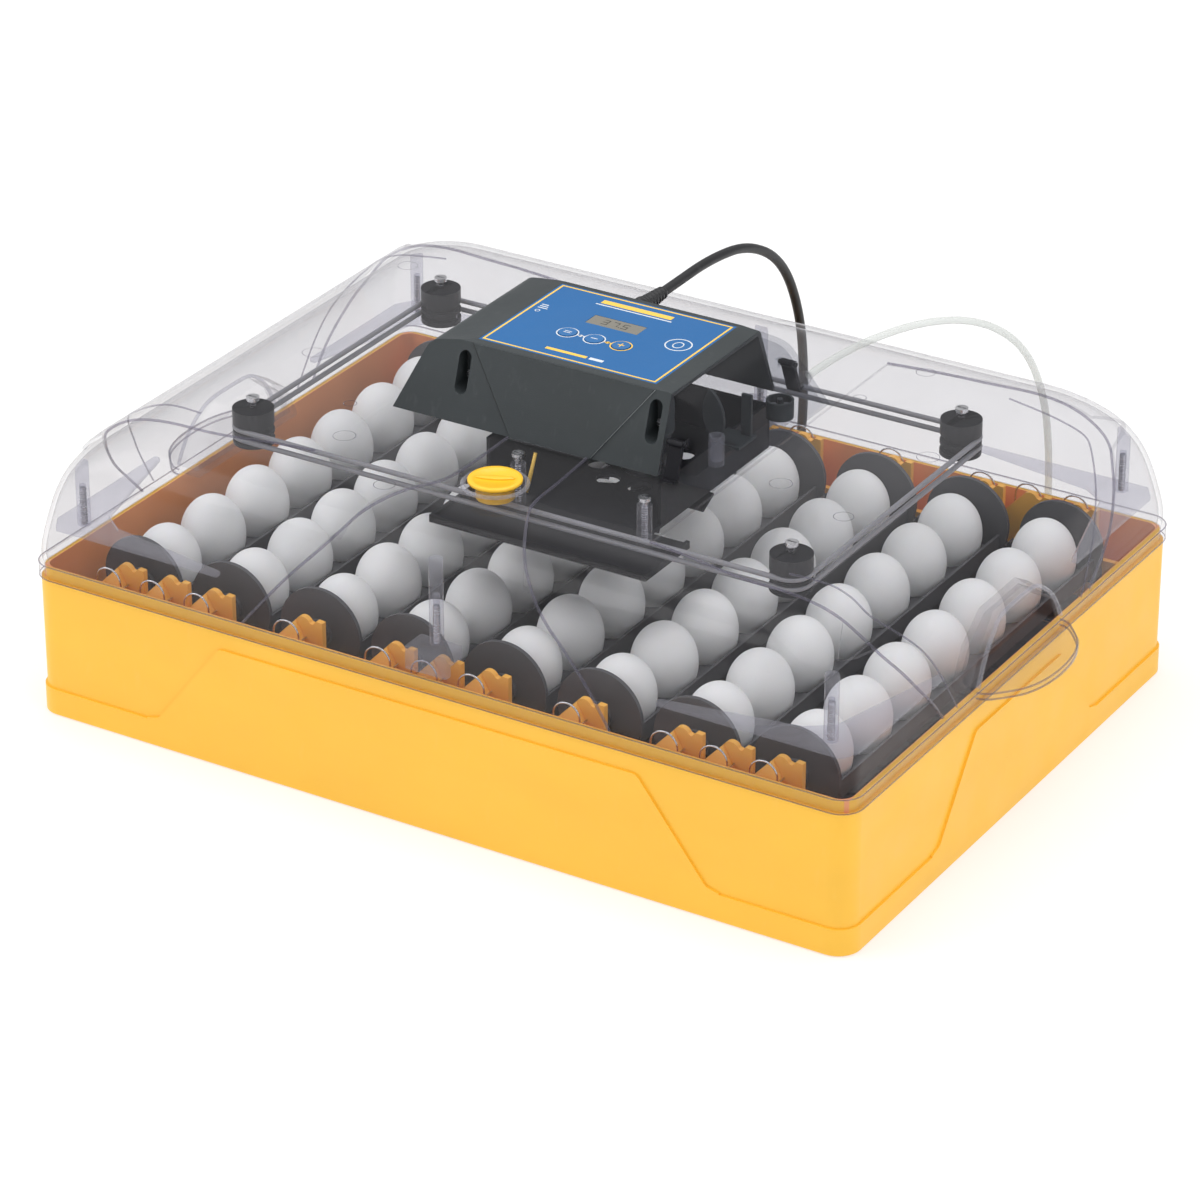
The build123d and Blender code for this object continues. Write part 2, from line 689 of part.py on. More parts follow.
def plate_pillars():
    low = PLATE_Z + PLATE_T
    return [post(x, y, low, LID_TOP - LID_WALL, 4.8) - post(x, y, low - 1, 210, SCREW_BORE)
            for x, y in PILLAR_PLACES]


def plate_screws():
    screws = []
    for x, y in PILLAR_PLACES:
        top = LID_TOP + (RAISED if abs(x) < 29 else 0)
        screw = post(x, y, top, top + 2.2, 4.0) + post(x, y, PLATE_Z + PLATE_T + 1, top + 1, 1.9)
        screw -= block(x - 3, x + 3, y - 0.6, y + 0.6, top + 1.2, top + 3)
        screws.append(screw)
    return screws


def temperature_probe():
    probe = post(PROBE_X, PROBE_Y, 140, PLATE_Z, PROBE_R)
    return probe + Pos(PROBE_X, PROBE_Y, 140) * Sphere(PROBE_R)


# ---- control module ----
def module_body(inset):
    """Wedge-ended block of the module, as two crossing profiles."""
    top = MODULE_TOP - inset
    foot = MODULE_FOOT_X - inset * 1.09
    bend = MODULE_BEND_X - inset * 0.9
    wing = [(-foot, LID_TOP), (-bend, MODULE_BEND_Z - inset), (-66, top),
            (66, top), (bend, MODULE_BEND_Z - inset), (foot, LID_TOP)]
    along_y = slab_xz(wing, -100, 100)
    bevel = [e for e in along_y.edges().filter_by(Axis.Y) if abs(abs(e.center().X) - MODULE_BEND_X) < 4]
    along_y = fillet(bevel, MODULE_BEVEL - 0.43 * inset)
    side = [(MODULE_FRONT + inset * 1.06, LID_TOP), (-51 + inset * 1.06, 252 - inset),
            (-48.5 + inset, top), (56 - inset, top), (60 - inset * 1.08, 250 - inset),
            (MODULE_BACK - inset * 1.08, LID_TOP)]
    along_x = slab_yz(side, -130, 130)
    return along_y & along_x


def module_shell():
    shell = module_body(0)
    core = module_body(MODULE_WALL)
    return shell - core


def front_panel():
    """Proud centre panel of the module's front: wide at the label, narrow at the lid."""
    outline = slab_xz([(-66, 252), (66, 252), (29, LID_TOP), (-29, LID_TOP)], -90, -40)
    slab = slab_yz([(-67, LID_TOP), (-50, 252), (-52.2, 252), (-69.2, LID_TOP)], -90, 90)
    return outline & slab


def screw_pocket(x, grow):
    """Upright oval well in the module's front for a fixing screw."""
    front = Plane(origin=(x, 0, WELL_Z), x_dir=(0, 0, 1), z_dir=(0, -1, 0))
    face = front * SlotOverall(WELL_LONG + grow, WELL_WIDE + grow)
    return extrude(face, 75 + grow / 2) - block(x - 20, x + 20, -45 + grow / 2, 5, 200, 260)


def display_recess(low):
    x0, x1, y0, y1 = DISPLAY
    return block(x0 - 0.2, x1 + 0.2, y0 - 0.2, y1 + 0.2, low, MODULE_TOP + 1)


def housing_cover():
    shell = module_shell()
    cover = shell & block(-130, SPLIT_X, -100, 100, 190, 270)
    cover += front_panel()
    outer = module_body(0)
    for x in WELL_X:
        well = screw_pocket(x, 4) & outer
        cover += well
        cover -= screw_pocket(x, 0)
    label = block(-LABEL_X / 2 - 0.1, LABEL_X / 2 + 0.1, LABEL_MID_Y - LABEL_Y / 2 - 0.1,
                  LABEL_MID_Y + LABEL_Y / 2 + 0.1, MODULE_TOP - LABEL_T, MODULE_TOP + 5)
    cover -= label
    cover -= display_recess(MODULE_TOP - 1.6)
    for x in BUTTON_X:
        cover -= post(x, BUTTON_Y, MODULE_TOP - 10, MODULE_TOP + 1, BUTTON_R + 0.3)
    cover -= rod_y(GROMMET_X, GROMMET_Z, 50, 75, 5.2)
    return cover


def smoked_end():
    """Clear smoked end of the module, with ears for the two latches."""
    end = module_shell() & block(SPLIT_X + 0.2, 130, -100, 100, 190, 270)
    for y, z in LATCH_PIVOTS:
        inward = 1 if y < 0 else -1
        for x in (LATCH_X - 6.6, LATCH_X + 5.1):
            reach = y + inward * 8
            end += block(x, x + 1.5, min(y, reach), max(y, reach), z - 3, z + 3)
        end -= rod_x(y, z, LATCH_X - 8, LATCH_X + 8, 1.5 + RUNNING)
    end -= module_body(MODULE_WALL)
    end -= rod_y(TUBE_X, TUBE_Z, 60, 90, 3.3)
    return end


def latch(y, z):
    """Toggle lever that hangs outside the smoked end and holds it to the lid."""
    side = -1 if y < 0 else 1
    lean = 19.0 if y < 0 else -22.5
    pin = rod_x(0, 0, -6.5, 6.5, 1.5)
    lever = block(-4.8, 4.8, -1.3, 1.3, -24, 2.4) + rod_x(0, 0, -4.8, 4.8, 2.4)
    lever += block(-4.8, 4.8, min(0, side * 5), max(0, side * 5), -24, -22.4)
    return Pos(LATCH_X, y, z) * (pin + Rot(-lean, 0, 0) * lever)


def label_panel():
    plate = block(-LABEL_X / 2, LABEL_X / 2, LABEL_MID_Y - LABEL_Y / 2, LABEL_MID_Y + LABEL_Y / 2,
                  MODULE_TOP - LABEL_T, MODULE_TOP)
    plate -= display_recess(MODULE_TOP - 2)
    for x in BUTTON_X:
        plate -= post(x, BUTTON_Y, MODULE_TOP - 2, MODULE_TOP + 1, BUTTON_R + 0.3)
    return plate


def display_window():
    return block(*DISPLAY, MODULE_TOP - 1.5, MODULE_TOP - 0.1)


def button(x):
    return post(x, BUTTON_Y, MODULE_TOP - 4, MODULE_TOP + 0.6, BUTTON_R)


def circuit_board():
    """Board on four stand-offs under the module's top, with display, switches and parts."""
    board = block(-88, 62, -40, 46, 238, 239.6)
    under = MODULE_TOP - MODULE_WALL
    for x in (-60, 56):
        for y in (-34, 40):
            board += post(x, y, 239, under, 3)
    board += block(-24, 20, 6, 24, 239, under - 1.5)
    for x in BUTTON_X:
        board += block(x - 3, x + 3, BUTTON_Y - 3, BUTTON_Y + 3, 239, under - 3.2)
    board += block(-80, -58, -20, 22, 226, 238.5)
    for x in (30, 40, 50):
        board += post(x, 30, 228, 238.5, 3.6)
    return board


def housing_screws():
    screws = []
    for x in WELL_X:
        head = rod_y(x, 228, -48, -45, 3.4) - block(x - 2.4, x + 2.4, -50, -46.8, 227.5, 228.5)
        screws.append(head)
    return screws


def vent_blades():
    """A leaf-shaped and a straight air blade that stand on the lid inside the smoked end."""
    leaf = make_face([
        ThreePointArc((86, 0, LID_TOP), (75, 0, LID_TOP + 22), (80, 0, LID_TOP + 36)),
        ThreePointArc((80, 0, LID_TOP + 36), (90, 0, LID_TOP + 20), (86, 0, LID_TOP))])
    leaf_solid = Pos(0, -8, 0) * extrude(leaf, 2.4, dir=(0, 1, 0))
    bar = block(94, 101, 8, 10.4, LID_TOP, LID_TOP + 30)
    foot = block(82, 103, -10, 12, LID_TOP, LID_TOP + 2) - block(*OPENING, 190, 203)
    return [leaf_solid + block(84, 100, -8, -5.6, LID_TOP, LID_TOP + 2), bar + foot]


def pump_body():
    """Small peristaltic water pump at the rear of the smoked end."""
    body = post(PUMP_X, PUMP_Y, LID_TOP, LID_TOP + 12, 9.0)
    body -= post(PUMP_X, PUMP_Y, LID_TOP + 2, LID_TOP + 13, 7.6)
    body += post(PUMP_X, PUMP_Y, LID_TOP + 1, LID_TOP + 12, 1.5)
    return body


def pump_rotor():
    """Roller carrier of the pump, on its spindle."""
    z = LID_TOP + 2.4
    rotor = post(PUMP_X, PUMP_Y, z, z + 2, 6.6)
    for i in range(3):
        angle = math.radians(120 * i)
        x = PUMP_X + 4.7 * math.cos(angle)
        y = PUMP_Y + 4.7 * math.sin(angle)
        rotor += post(x, y, z, z + 8, 1.8)
    rotor -= post(PUMP_X, PUMP_Y, z - 1, z + 10, 1.5 + RUNNING)
    return rotor


def inlet_post():
    """Clear stand-pipe in the smoked end that passes the pumped water into the chamber."""
    x = 100.5
    y = -34.0
    return post(x, y, LID_TOP, LID_TOP + 20, 5.0) - post(x, y, LID_TOP + 3, LID_TOP + 21, 3.6)


# ---- cords ----
def tube_along(points, diameter, name):
    """A tube of straight runs joined by tangent arcs as large as the runs allow."""
    places = [Vector(*p) for p in points]
    radii = []
    for a, b, c in zip(places, places[1:], places[2:]):
        turn = math.radians((b - a).get_angle(c - b))
        shorter = min((b - a).length, (c - b).length)
        radii.append(0.45 * shorter / math.tan(turn / 2))
    path = FilletPolyline(*points, radius=radii)
    section = Plane(origin=path @ 0, z_dir=path % 0) * Circle(diameter / 2)
    tube = sweep(section, path=path)
    expected = math.pi * diameter ** 2 / 4 * path.length
    print(name, "radii", [round(r) for r in radii], "length", round(path.length),
          "volume share", round(tube.volume / expected, 4), "lowest", round(tube.bounding_box().min.Z, 2))
    return tube


def cord_grommet():
    """Moulded strain relief in the module's rear edge."""
    relief = rod_y(GROMMET_X, GROMMET_Z, 56, 66, 5.2)
    cone = Pos(GROMMET_X, 71, GROMMET_Z) * Rot(-90, 0, 0) * Cone(6.4, 4.2, 14)
    return relief + cone


def mains_coil():
    ring = post(COIL_X, COIL_Y, 0, COIL_H, COIL_R + COIL_HALF)
    return ring - post(COIL_X, COIL_Y, -1, COIL_H + 1, COIL_R - COIL_HALF)


def mains_plug():
    """Flat two-pin plug body lying on the table."""
    outline = [(-20, 342), (-20, 354), (-8, 361), (16, 361), (16, 335), (-8, 335)]
    return slab_xy(outline, 0, 14)


def plug_pins():
    return [rod_x(348 + side * 9.5, 7, 16, 35, 2.0) for side in (-1, 1)]


def pump_nipple():
    """Barbed spout at the rear of the smoked end for the water tube."""
    spout = rod_y(TUBE_X, TUBE_Z, 68, 84, 3.2)
    return spout + rod_y(TUBE_X, TUBE_Z, 78.5, 80.5, 4.2)


def tube_end():
    """Weighted suction end of the water tube."""
    return rod_x(286, 3.6, 102, 120, 3.6)


def main():
    save("base_tub", base_tub())
    save("rubber_feet", *rubber_feet())
    save("water_tray", water_tray())
    save("floor_tray", floor_tray())
    save("front_bearing_rail", bearing_rail())
    save("rear_bearing_rail", rear_rail())
    front_clips = [wire_clip(x) for x, bore in tab_places()]
    save("front_wire_clips", *front_clips)
    rear_clips = [mirror_y(wire_clip(x)) for x, bore in tab_places() if x != 0]
    save("rear_wire_clips", *rear_clips)
    carrier = egg_carrier()
    for index in range(ROWS):
        save(f"egg_carrier_{index + 1}", Pos(row_x(index), 0, AXIS_Z) * carrier)
        save(f"egg_row_{index + 1}", *egg_row(index))
    save("turning_rack", turning_rack())
    save("drive_pinion", drive_pinion())
    save("turning_motor", turning_motor())
    save("lid_shell", lid_shell())
    save("lid_ledges", *lid_ledges())
    save("clear_posts", *lid_posts(), *plate_pillars(), inlet_post())
    save("lid_screws", *post_screws(), *bobbin_screws(), *plate_screws(), *housing_screws())
    save("vent_plug", vent_plug())
    save("heater_bobbins", *bobbins())
    save("heater_cord", *heater_cord())
    save("fan_plate", fan_plate())
    save("fan_motor", fan_motor())
    save("fan_rotor", fan_rotor())
    save("temperature_probe", temperature_probe())
    save("housing_cover", housing_cover())
    save("smoked_end_cover", smoked_end())
    save("front_latch", latch(*LATCH_PIVOTS[0]))
    save("rear_latch", latch(*LATCH_PIVOTS[1]))
    save("label_panel", label_panel())
    save("display_window", display_window())
    for name, x in zip(("left_button", "middle_button", "right_button"), BUTTON_X):
        save(name, button(x))
    save("circuit_board", circuit_board())
    save("vent_blades", *vent_blades())
    save("pump_body", pump_body())
    save("pump_rotor", pump_rotor())
    save("cord_grommet", cord_grommet())
    save("mains_lead", tube_along(MAINS_ROUTE, CORD_D, "mains lead"),
         tube_along(TAIL_ROUTE, CORD_D, "mains tail"))
    save("mains_coil", mains_coil())
    save("mains_plug", mains_plug())
    save("plug_pins", *plug_pins())
    save("pump_nipple", pump_nipple())
    save("water_tube", tube_along(TUBE_ROUTE, TUBE_D, "water tube"))
    save("tube_end", tube_end())


main()
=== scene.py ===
import bpy
import bmesh
import math
from mathutils import Matrix, Vector


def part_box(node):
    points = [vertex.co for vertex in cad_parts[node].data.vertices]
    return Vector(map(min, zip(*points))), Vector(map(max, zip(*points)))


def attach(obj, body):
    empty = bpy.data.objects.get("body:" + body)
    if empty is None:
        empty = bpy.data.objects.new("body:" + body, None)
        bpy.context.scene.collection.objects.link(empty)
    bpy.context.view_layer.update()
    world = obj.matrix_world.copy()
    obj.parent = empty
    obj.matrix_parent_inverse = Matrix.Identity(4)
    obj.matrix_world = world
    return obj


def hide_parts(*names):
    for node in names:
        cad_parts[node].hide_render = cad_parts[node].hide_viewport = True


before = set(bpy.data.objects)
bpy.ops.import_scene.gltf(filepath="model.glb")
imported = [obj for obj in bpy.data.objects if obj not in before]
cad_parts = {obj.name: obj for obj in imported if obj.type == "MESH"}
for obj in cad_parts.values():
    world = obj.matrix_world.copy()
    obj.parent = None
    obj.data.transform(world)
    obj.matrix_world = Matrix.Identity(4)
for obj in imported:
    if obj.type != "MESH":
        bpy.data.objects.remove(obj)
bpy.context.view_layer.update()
MM = 0.001

scene = bpy.context.scene
scene.view_settings.view_transform = "Standard"
scene.view_settings.look = "None"
scene.cycles.transparent_max_bounces = 24


# ---------------------------------------------------------------- camera
camera = bpy.data.objects.new("camera", bpy.data.cameras.new("camera"))
scene.collection.objects.link(camera)
scene.camera = camera
camera.data.lens = 147.4
camera.data.sensor_width = 36.0
camera.data.clip_end = 50.0
camera.location = (1.4667, -2.4181, 1.5394)
CAMERA_AIM = Vector((-0.0048, 0.0, 0.0632))
camera.rotation_euler = (CAMERA_AIM - camera.location).to_track_quat("-Z", "Y").to_euler()


# ---------------------------------------------------------------- node materials
def put(tree, kind, props=None, **sockets):
    """Adds a node; a socket value is a constant, or another node's output to link."""
    node = tree.nodes.new(kind)
    for key, value in (props or {}).items():
        setattr(node, key, value)
    for key, value in sockets.items():
        place = int(key[1:]) if key[0] == "i" and key[1:].isdigit() else key.replace("_", " ")
        if isinstance(value, bpy.types.NodeSocket):
            tree.links.new(value, node.inputs[place])
        else:
            node.inputs[place].default_value = value
    return node


def rgba(colour, factor=1.0):
    return tuple(min(1.0, c * factor) for c in colour[:3]) + (1.0,)


def new_material(name):
    material = bpy.data.materials.new(name)
    material.use_nodes = True
    tree = material.node_tree
    tree.nodes.clear()
    out = tree.nodes.new("ShaderNodeOutputMaterial")
    place = tree.nodes.new("ShaderNodeTexCoord").outputs["Object"]
    return material, tree, out, place


def ramp(tree, source, low, high, start=0.3, end=0.7):
    node = put(tree, "ShaderNodeValToRGB", Fac=source)
    node.color_ramp.elements[0].position = start
    node.color_ramp.elements[0].color = low
    node.color_ramp.elements[1].position = end
    node.color_ramp.elements[1].color = high
    return node.outputs["Color"]


def spread(tree, source, low, high, start=0.3, end=0.7):
    node = put(tree, "ShaderNodeMapRange", Value=source, From_Min=start, From_Max=end,
               To_Min=low, To_Max=high)
    return node.outputs["Result"]


def noise(tree, place, scale, detail=3.0, stretch=None):
    if stretch:
        place = put(tree, "ShaderNodeMapping", Vector=place, Scale=stretch).outputs["Vector"]
    return put(tree, "ShaderNodeTexNoise", Vector=place, Scale=scale, Detail=detail).outputs["Fac"]


def multiply_add(tree, value, factor, added):
    node = put(tree, "ShaderNodeMath", {"operation": "MULTIPLY_ADD"}, i0=value, i1=factor, i2=added)
    return node.outputs[0]


def power(tree, value, exponent):
    return put(tree, "ShaderNodeMath", {"operation": "POWER"}, i0=value, i1=exponent).outputs[0]


WALL_GAP = 2.5 * MM


def paint_cavity_bounce(tree, place, outside, painted_bounce_colour):
    """Paints the tub's cavity walls in the given deeper orange, by the point's own place on the part:
    painted bounce light and shade, since the cavity is the same yellow plastic.
    """
    low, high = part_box("floor_tray")
    parts = put(tree, "ShaderNodeSeparateXYZ", Vector=place)
    masks = []
    for axis, limit in (("X", high[0] + WALL_GAP), ("Y", high[1] + WALL_GAP)):
        size = put(tree, "ShaderNodeMath", {"operation": "ABSOLUTE"}, i0=parts.outputs[axis]).outputs[0]
        inner = put(tree, "ShaderNodeMath", {"operation": "LESS_THAN"}, i0=size, i1=limit)
        masks.append(inner.outputs[0])
    # mask for the painted bounce light and shade on the cavity walls
    painted_bounce_mask = put(tree, "ShaderNodeMath", {"operation": "MULTIPLY"}, i0=masks[0], i1=masks[1]).outputs[0]
    mix = put(tree, "ShaderNodeMix", {"data_type": "RGBA"}, Factor=painted_bounce_mask)
    tree.links.new(outside, mix.inputs[6])
    mix.inputs[7].default_value = rgba(painted_bounce_colour)
    return mix.outputs[2]


def moulded(name, colour, rough=0.4, grain=1500.0, height=0.05, mottle=0.05, sss=0.0, coat=0.0,
            wear=0.06, specular=0.5, inner=None):
    """Moulded plastic or rubber: flow mottling, mould grain, smudges and faint lighter scuffs."""
    material, tree, out, place = new_material(name)
    flow = noise(tree, place, 11.0, 4.0, (1.0, 1.0, 2.2))
    base = ramp(tree, flow, rgba(colour, 1 - mottle), rgba(colour, 1 + mottle))
    # painted bounce light and shade: the tub's cavity walls get a deeper orange
    if inner:
        base = paint_cavity_bounce(tree, place, base, inner)
    scuff = noise(tree, place, 160.0, 6.0, (1.0, 1.0, 0.35))
    rubbed = spread(tree, scuff, 0.0, wear, 0.62, 0.78)
    light = put(tree, "ShaderNodeMix", {"data_type": "RGBA"}, Factor=rubbed)
    tree.links.new(base, light.inputs[6])
    light.inputs[7].default_value = rgba([c * 0.6 + 0.4 for c in colour])
    smudge = noise(tree, place, 34.0, 5.0)
    roughness = spread(tree, smudge, rough - 0.05, rough + 0.09)
    fine = noise(tree, place, grain, 2.0)
    coarse = noise(tree, place, grain / 9, 2.0)
    both = multiply_add(tree, coarse, 0.6, fine)
    bump = put(tree, "ShaderNodeBump", Strength=height, Distance=0.0006, Height=both).outputs["Normal"]
    shader = put(tree, "ShaderNodeBsdfPrincipled", Base_Color=light.outputs[2], Roughness=roughness,
                 Normal=bump, Subsurface_Weight=sss, Coat_Weight=coat, Coat_Roughness=0.12)
    shader.inputs["Specular IOR Level"].default_value = specular
    shader.inputs["Subsurface Radius"].default_value = (0.004, 0.002, 0.0008)
    tree.links.new(shader.outputs[0], out.inputs["Surface"])
    return material


def clear(name, tint, haze_colour, haze=0.05, edge=0.5, rough=0.04, ripple=0.06, glance=0.36):
    """Clear moulding: passes its tint, mirrors more at a glance, and is hazier towards its edges."""
    material, tree, out, place = new_material(name)
    facing = put(tree, "ShaderNodeLayerWeight", Blend=0.5).outputs["Facing"]
    fresnel = power(tree, facing, 5.0)
    shine = multiply_add(tree, fresnel, glance, 0.010)
    rim = power(tree, facing, 6.0)
    smear = spread(tree, noise(tree, place, 9.0, 5.0), 0.0, 0.012, 0.45, 0.75)
    dust = spread(tree, noise(tree, place, 900.0, 2.0), 0.0, 0.03, 0.72, 0.8)
    specks = put(tree, "ShaderNodeMath", {"operation": "ADD"}, i0=smear, i1=dust).outputs[0]
    cloud = multiply_add(tree, rim, edge, haze)
    cloudy = put(tree, "ShaderNodeMath", {"operation": "ADD", "use_clamp": True},
                 i0=cloud, i1=specks).outputs[0]
    wave = noise(tree, place, 14.0, 2.0)
    bump = put(tree, "ShaderNodeBump", Strength=ripple, Distance=0.004, Height=wave).outputs["Normal"]
    passed = put(tree, "ShaderNodeBsdfTransparent", Color=rgba(tint))
    mirror = put(tree, "ShaderNodeBsdfGlossy", Color=(1, 1, 1, 1), Roughness=rough, Normal=bump)
    veil = put(tree, "ShaderNodeBsdfDiffuse", Color=rgba(haze_colour))
    body = put(tree, "ShaderNodeMixShader", i0=cloudy, i1=passed.outputs[0], i2=veil.outputs[0])
    whole = put(tree, "ShaderNodeMixShader", i0=shine, i1=body.outputs[0], i2=mirror.outputs[0])
    tree.links.new(whole.outputs[0], out.inputs["Surface"])
    return material


def egg_shell():
    """Matt shell: slow tonal drift, faint speckle, and fine pores with a gentle unevenness."""
    material, tree, out, place = new_material("egg_shell")
    drift = noise(tree, place, 16.0, 3.0)
    base = ramp(tree, drift, (0.84, 0.85, 0.85, 1), (0.94, 0.945, 0.94, 1))
    speck = noise(tree, place, 420.0, 3.0)
    share = spread(tree, speck, 0.0, 0.22, 0.6, 0.74)
    mixed = put(tree, "ShaderNodeMix", {"data_type": "RGBA"}, Factor=share)
    tree.links.new(base, mixed.inputs[6])
    mixed.inputs[7].default_value = (0.6, 0.6, 0.59, 1)
    pores = put(tree, "ShaderNodeTexVoronoi", Vector=place, Scale=900.0).outputs["Distance"]
    waves = noise(tree, place, 130.0, 3.0)
    both = multiply_add(tree, waves, 1.6, pores)
    bump = put(tree, "ShaderNodeBump", Strength=0.12, Distance=0.0005, Height=both).outputs["Normal"]
    roughness = spread(tree, waves, 0.5, 0.66)
    shader = put(tree, "ShaderNodeBsdfPrincipled", Base_Color=mixed.outputs[2], Roughness=roughness,
                 Normal=bump, Subsurface_Weight=0.12, Sheen_Weight=0.1)
    shader.inputs["Subsurface Radius"].default_value = (0.004, 0.003, 0.002)
    tree.links.new(shader.outputs[0], out.inputs["Surface"])
    return material


def brushed(name, colour, rough=0.25, stretch=(1.0, 1.0, 14.0), scale=160.0):
    """Bright drawn or brushed metal with fine lines along it."""
    material, tree, out, place = new_material(name)
    lines = noise(tree, place, scale, 4.0, stretch)
    base = ramp(tree, lines, rgba(colour, 0.8), rgba(colour, 1.08))
    roughness = spread(tree, lines, rough - 0.07, rough + 0.12)
    bump = put(tree, "ShaderNodeBump", Strength=0.15, Distance=0.0003, Height=lines).outputs["Normal"]
    shader = put(tree, "ShaderNodeBsdfPrincipled", Base_Color=base, Roughness=roughness, Normal=bump,
                 Metallic=1.0)
    tree.links.new(shader.outputs[0], out.inputs["Surface"])
    return material


def board():
    """Solder-masked board: copper tracks show as lighter lines under the green."""
    material, tree, out, place = new_material("circuit_green")
    tracks = put(tree, "ShaderNodeTexBrick", Vector=place, Scale=110.0).outputs["Fac"]
    base = ramp(tree, tracks, (0.008, 0.11, 0.045, 1), (0.03, 0.22, 0.09, 1), 0.2, 0.6)
    bump = put(tree, "ShaderNodeBump", Strength=0.2, Distance=0.0002, Height=tracks).outputs["Normal"]
    rough = spread(tree, noise(tree, place, 60.0), 0.25, 0.4)
    shader = put(tree, "ShaderNodeBsdfPrincipled", Base_Color=base, Roughness=rough, Normal=bump)
    tree.links.new(shader.outputs[0], out.inputs["Surface"])
    return material


YELLOW = (0.975, 0.535, 0.042)
ORANGE = (1.0, 0.50, 0.085)
# painted bounce light and shade: a deeper orange standing for light bouncing round the yellow tub's cavity
PAINTED_CAVITY_BOUNCE = (1.0, 0.40, 0.16)
materials = {}
for made in (
        # the tub's cavity walls carry painted bounce light and shade
        moulded("tub_yellow", YELLOW, 0.40, 1500, 0.10, 0.03, 0.03, 0.05, 0.03, inner=PAINTED_CAVITY_BOUNCE),
        moulded("yellow_plastic", (0.98, 0.56, 0.025), 0.34, 1500, 0.06, 0.03, 0.03, 0.1, 0.03),
        moulded("orange_plastic", ORANGE, 0.42, 1200, 0.12, 0.05, 0.08, 0.05, 0.04),
        clear("clear_plastic", (0.925, 0.923, 0.93), (0.46, 0.455, 0.475), 0.011, 0.7),
        clear("smoked_plastic", (0.87, 0.875, 0.89), (0.22, 0.22, 0.24), 0.03, 0.4, 0.05),
        moulded("dark_plastic", (0.036, 0.043, 0.046), 0.47, 2100, 0.2, 0.10, wear=0.04, specular=0.4),
        moulded("black_plastic", (0.012, 0.012, 0.015), 0.40, 1600, 0.12, 0.2, wear=0.03,
                specular=0.15),
        moulded("grey_plastic", (0.095, 0.095, 0.102), 0.48, 1300, 0.16, 0.12, wear=0.05, specular=0.3),
        moulded("blue_label", (0.010, 0.125, 0.35), 0.34, 2600, 0.05, 0.03, coat=0.1, wear=0.0,
                specular=0.3),
        moulded("button_film", (0.012, 0.14, 0.38), 0.34, 2600, 0.06, 0.04, coat=0.1, wear=0.0),
        moulded("display_glass", (0.20, 0.185, 0.15), 0.14, 3000, 0.02, 0.06, coat=0.6, wear=0.0),
        egg_shell(),
        moulded("black_rubber", (0.015, 0.015, 0.017), 0.6, 900, 0.3, 0.2, wear=0.03),
        brushed("steel", (0.66, 0.66, 0.68), 0.2),
        brushed("motor_steel", (0.42, 0.42, 0.45), 0.32, (1.0, 1.0, 30.0)),
        brushed("brass_pins", (0.78, 0.62, 0.32), 0.22, (14.0, 1.0, 1.0)),
        board(),
        moulded("cord_black", (0.012, 0.012, 0.014), 0.38, 1100, 0.12, 0.2, wear=0.03),
        moulded("heater_grey", (0.24, 0.24, 0.26), 0.38, 1800, 0.14, 0.1, 0.1, wear=0.03),
        clear("silicone_clear", (0.9, 0.91, 0.9), (0.8, 0.82, 0.8), 0.28, 0.45, 0.12),
        moulded("white_print", (0.72, 0.76, 0.8), 0.34, 3000, 0.05, 0.05, wear=0.0),
        moulded("yellow_print", (0.95, 0.60, 0.09), 0.34, 3000, 0.05, 0.05, wear=0.0),
        moulded("lcd_ink", (0.05, 0.048, 0.04), 0.3, 3000, 0.03, 0.1, wear=0.0),
        # lid creases: the bead's gloss is real, its darker purple tint is painted shade along the lid's
        # moulded steps
        clear("lid_crease_painted_shade", (0.80, 0.79, 0.83), (0.26, 0.25, 0.31), 0.16, 0.55, glance=0.9),
        clear("clear_edge", (0.90, 0.90, 0.93), (0.75, 0.75, 0.8), 0.10, 0.7, glance=0.9),
        clear("clear_thick", (0.90, 0.90, 0.93), (0.72, 0.72, 0.77), 0.10, 0.8, 0.06, glance=0.9),
        # painted shadow line and painted highlight line for the housing panel's edges
        moulded("painted_groove_shadow", (0.004, 0.004, 0.005), 0.5, 2100, 0.1, 0.1, wear=0.0),
        moulded("painted_edge_highlight", (0.30, 0.32, 0.33), 0.4, 2100, 0.1, 0.1, wear=0.0),
):
    materials[made.name.split(".")[0]] = made

OWN_LOOK = {"base_tub": "tub_yellow", "lid_ledges": "clear_thick", "clear_posts": "clear_thick"}
for name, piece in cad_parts.items():
    for place in piece.material_slots:
        slot_name = place.material.name.split(".")[0] if place.material else ""
        if slot_name in materials:
            place.material = materials[OWN_LOOK.get(name, slot_name)]
        else:
            print("SLOT?", name, slot_name)


# ---------------------------------------------------------------- mesh helpers
def add_object(name, data, body, material):
    piece = bpy.data.objects.new(name, data)
    scene.collection.objects.link(piece)
    if data.materials:
        data.materials[0] = materials[material]
    else:
        data.materials.append(materials[material])
    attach(piece, body)
    return piece


def from_bmesh(name, mesh, body, material, smooth=True):
    data = bpy.data.meshes.new(name)
    bmesh.ops.recalc_face_normals(mesh, faces=mesh.faces)
    mesh.to_mesh(data)
    mesh.free()
    for face in data.polygons:
        face.use_smooth = smooth
    return add_object(name, data, body, material)


def skin(mesh, loops, closed=False):
    """Quads between each loop of vertices and the next, and back to the first if closed."""
    count = len(loops[0])
    for a, b in zip(loops, loops[1:] + (loops[:1] if closed else [])):
        for k in range(count):
            mesh.faces.new((a[k], a[(k + 1) % count], b[(k + 1) % count], b[k]))


def cap_ends(mesh, loops):
    mesh.faces.new(loops[0][::-1])
    mesh.faces.new(loops[-1])


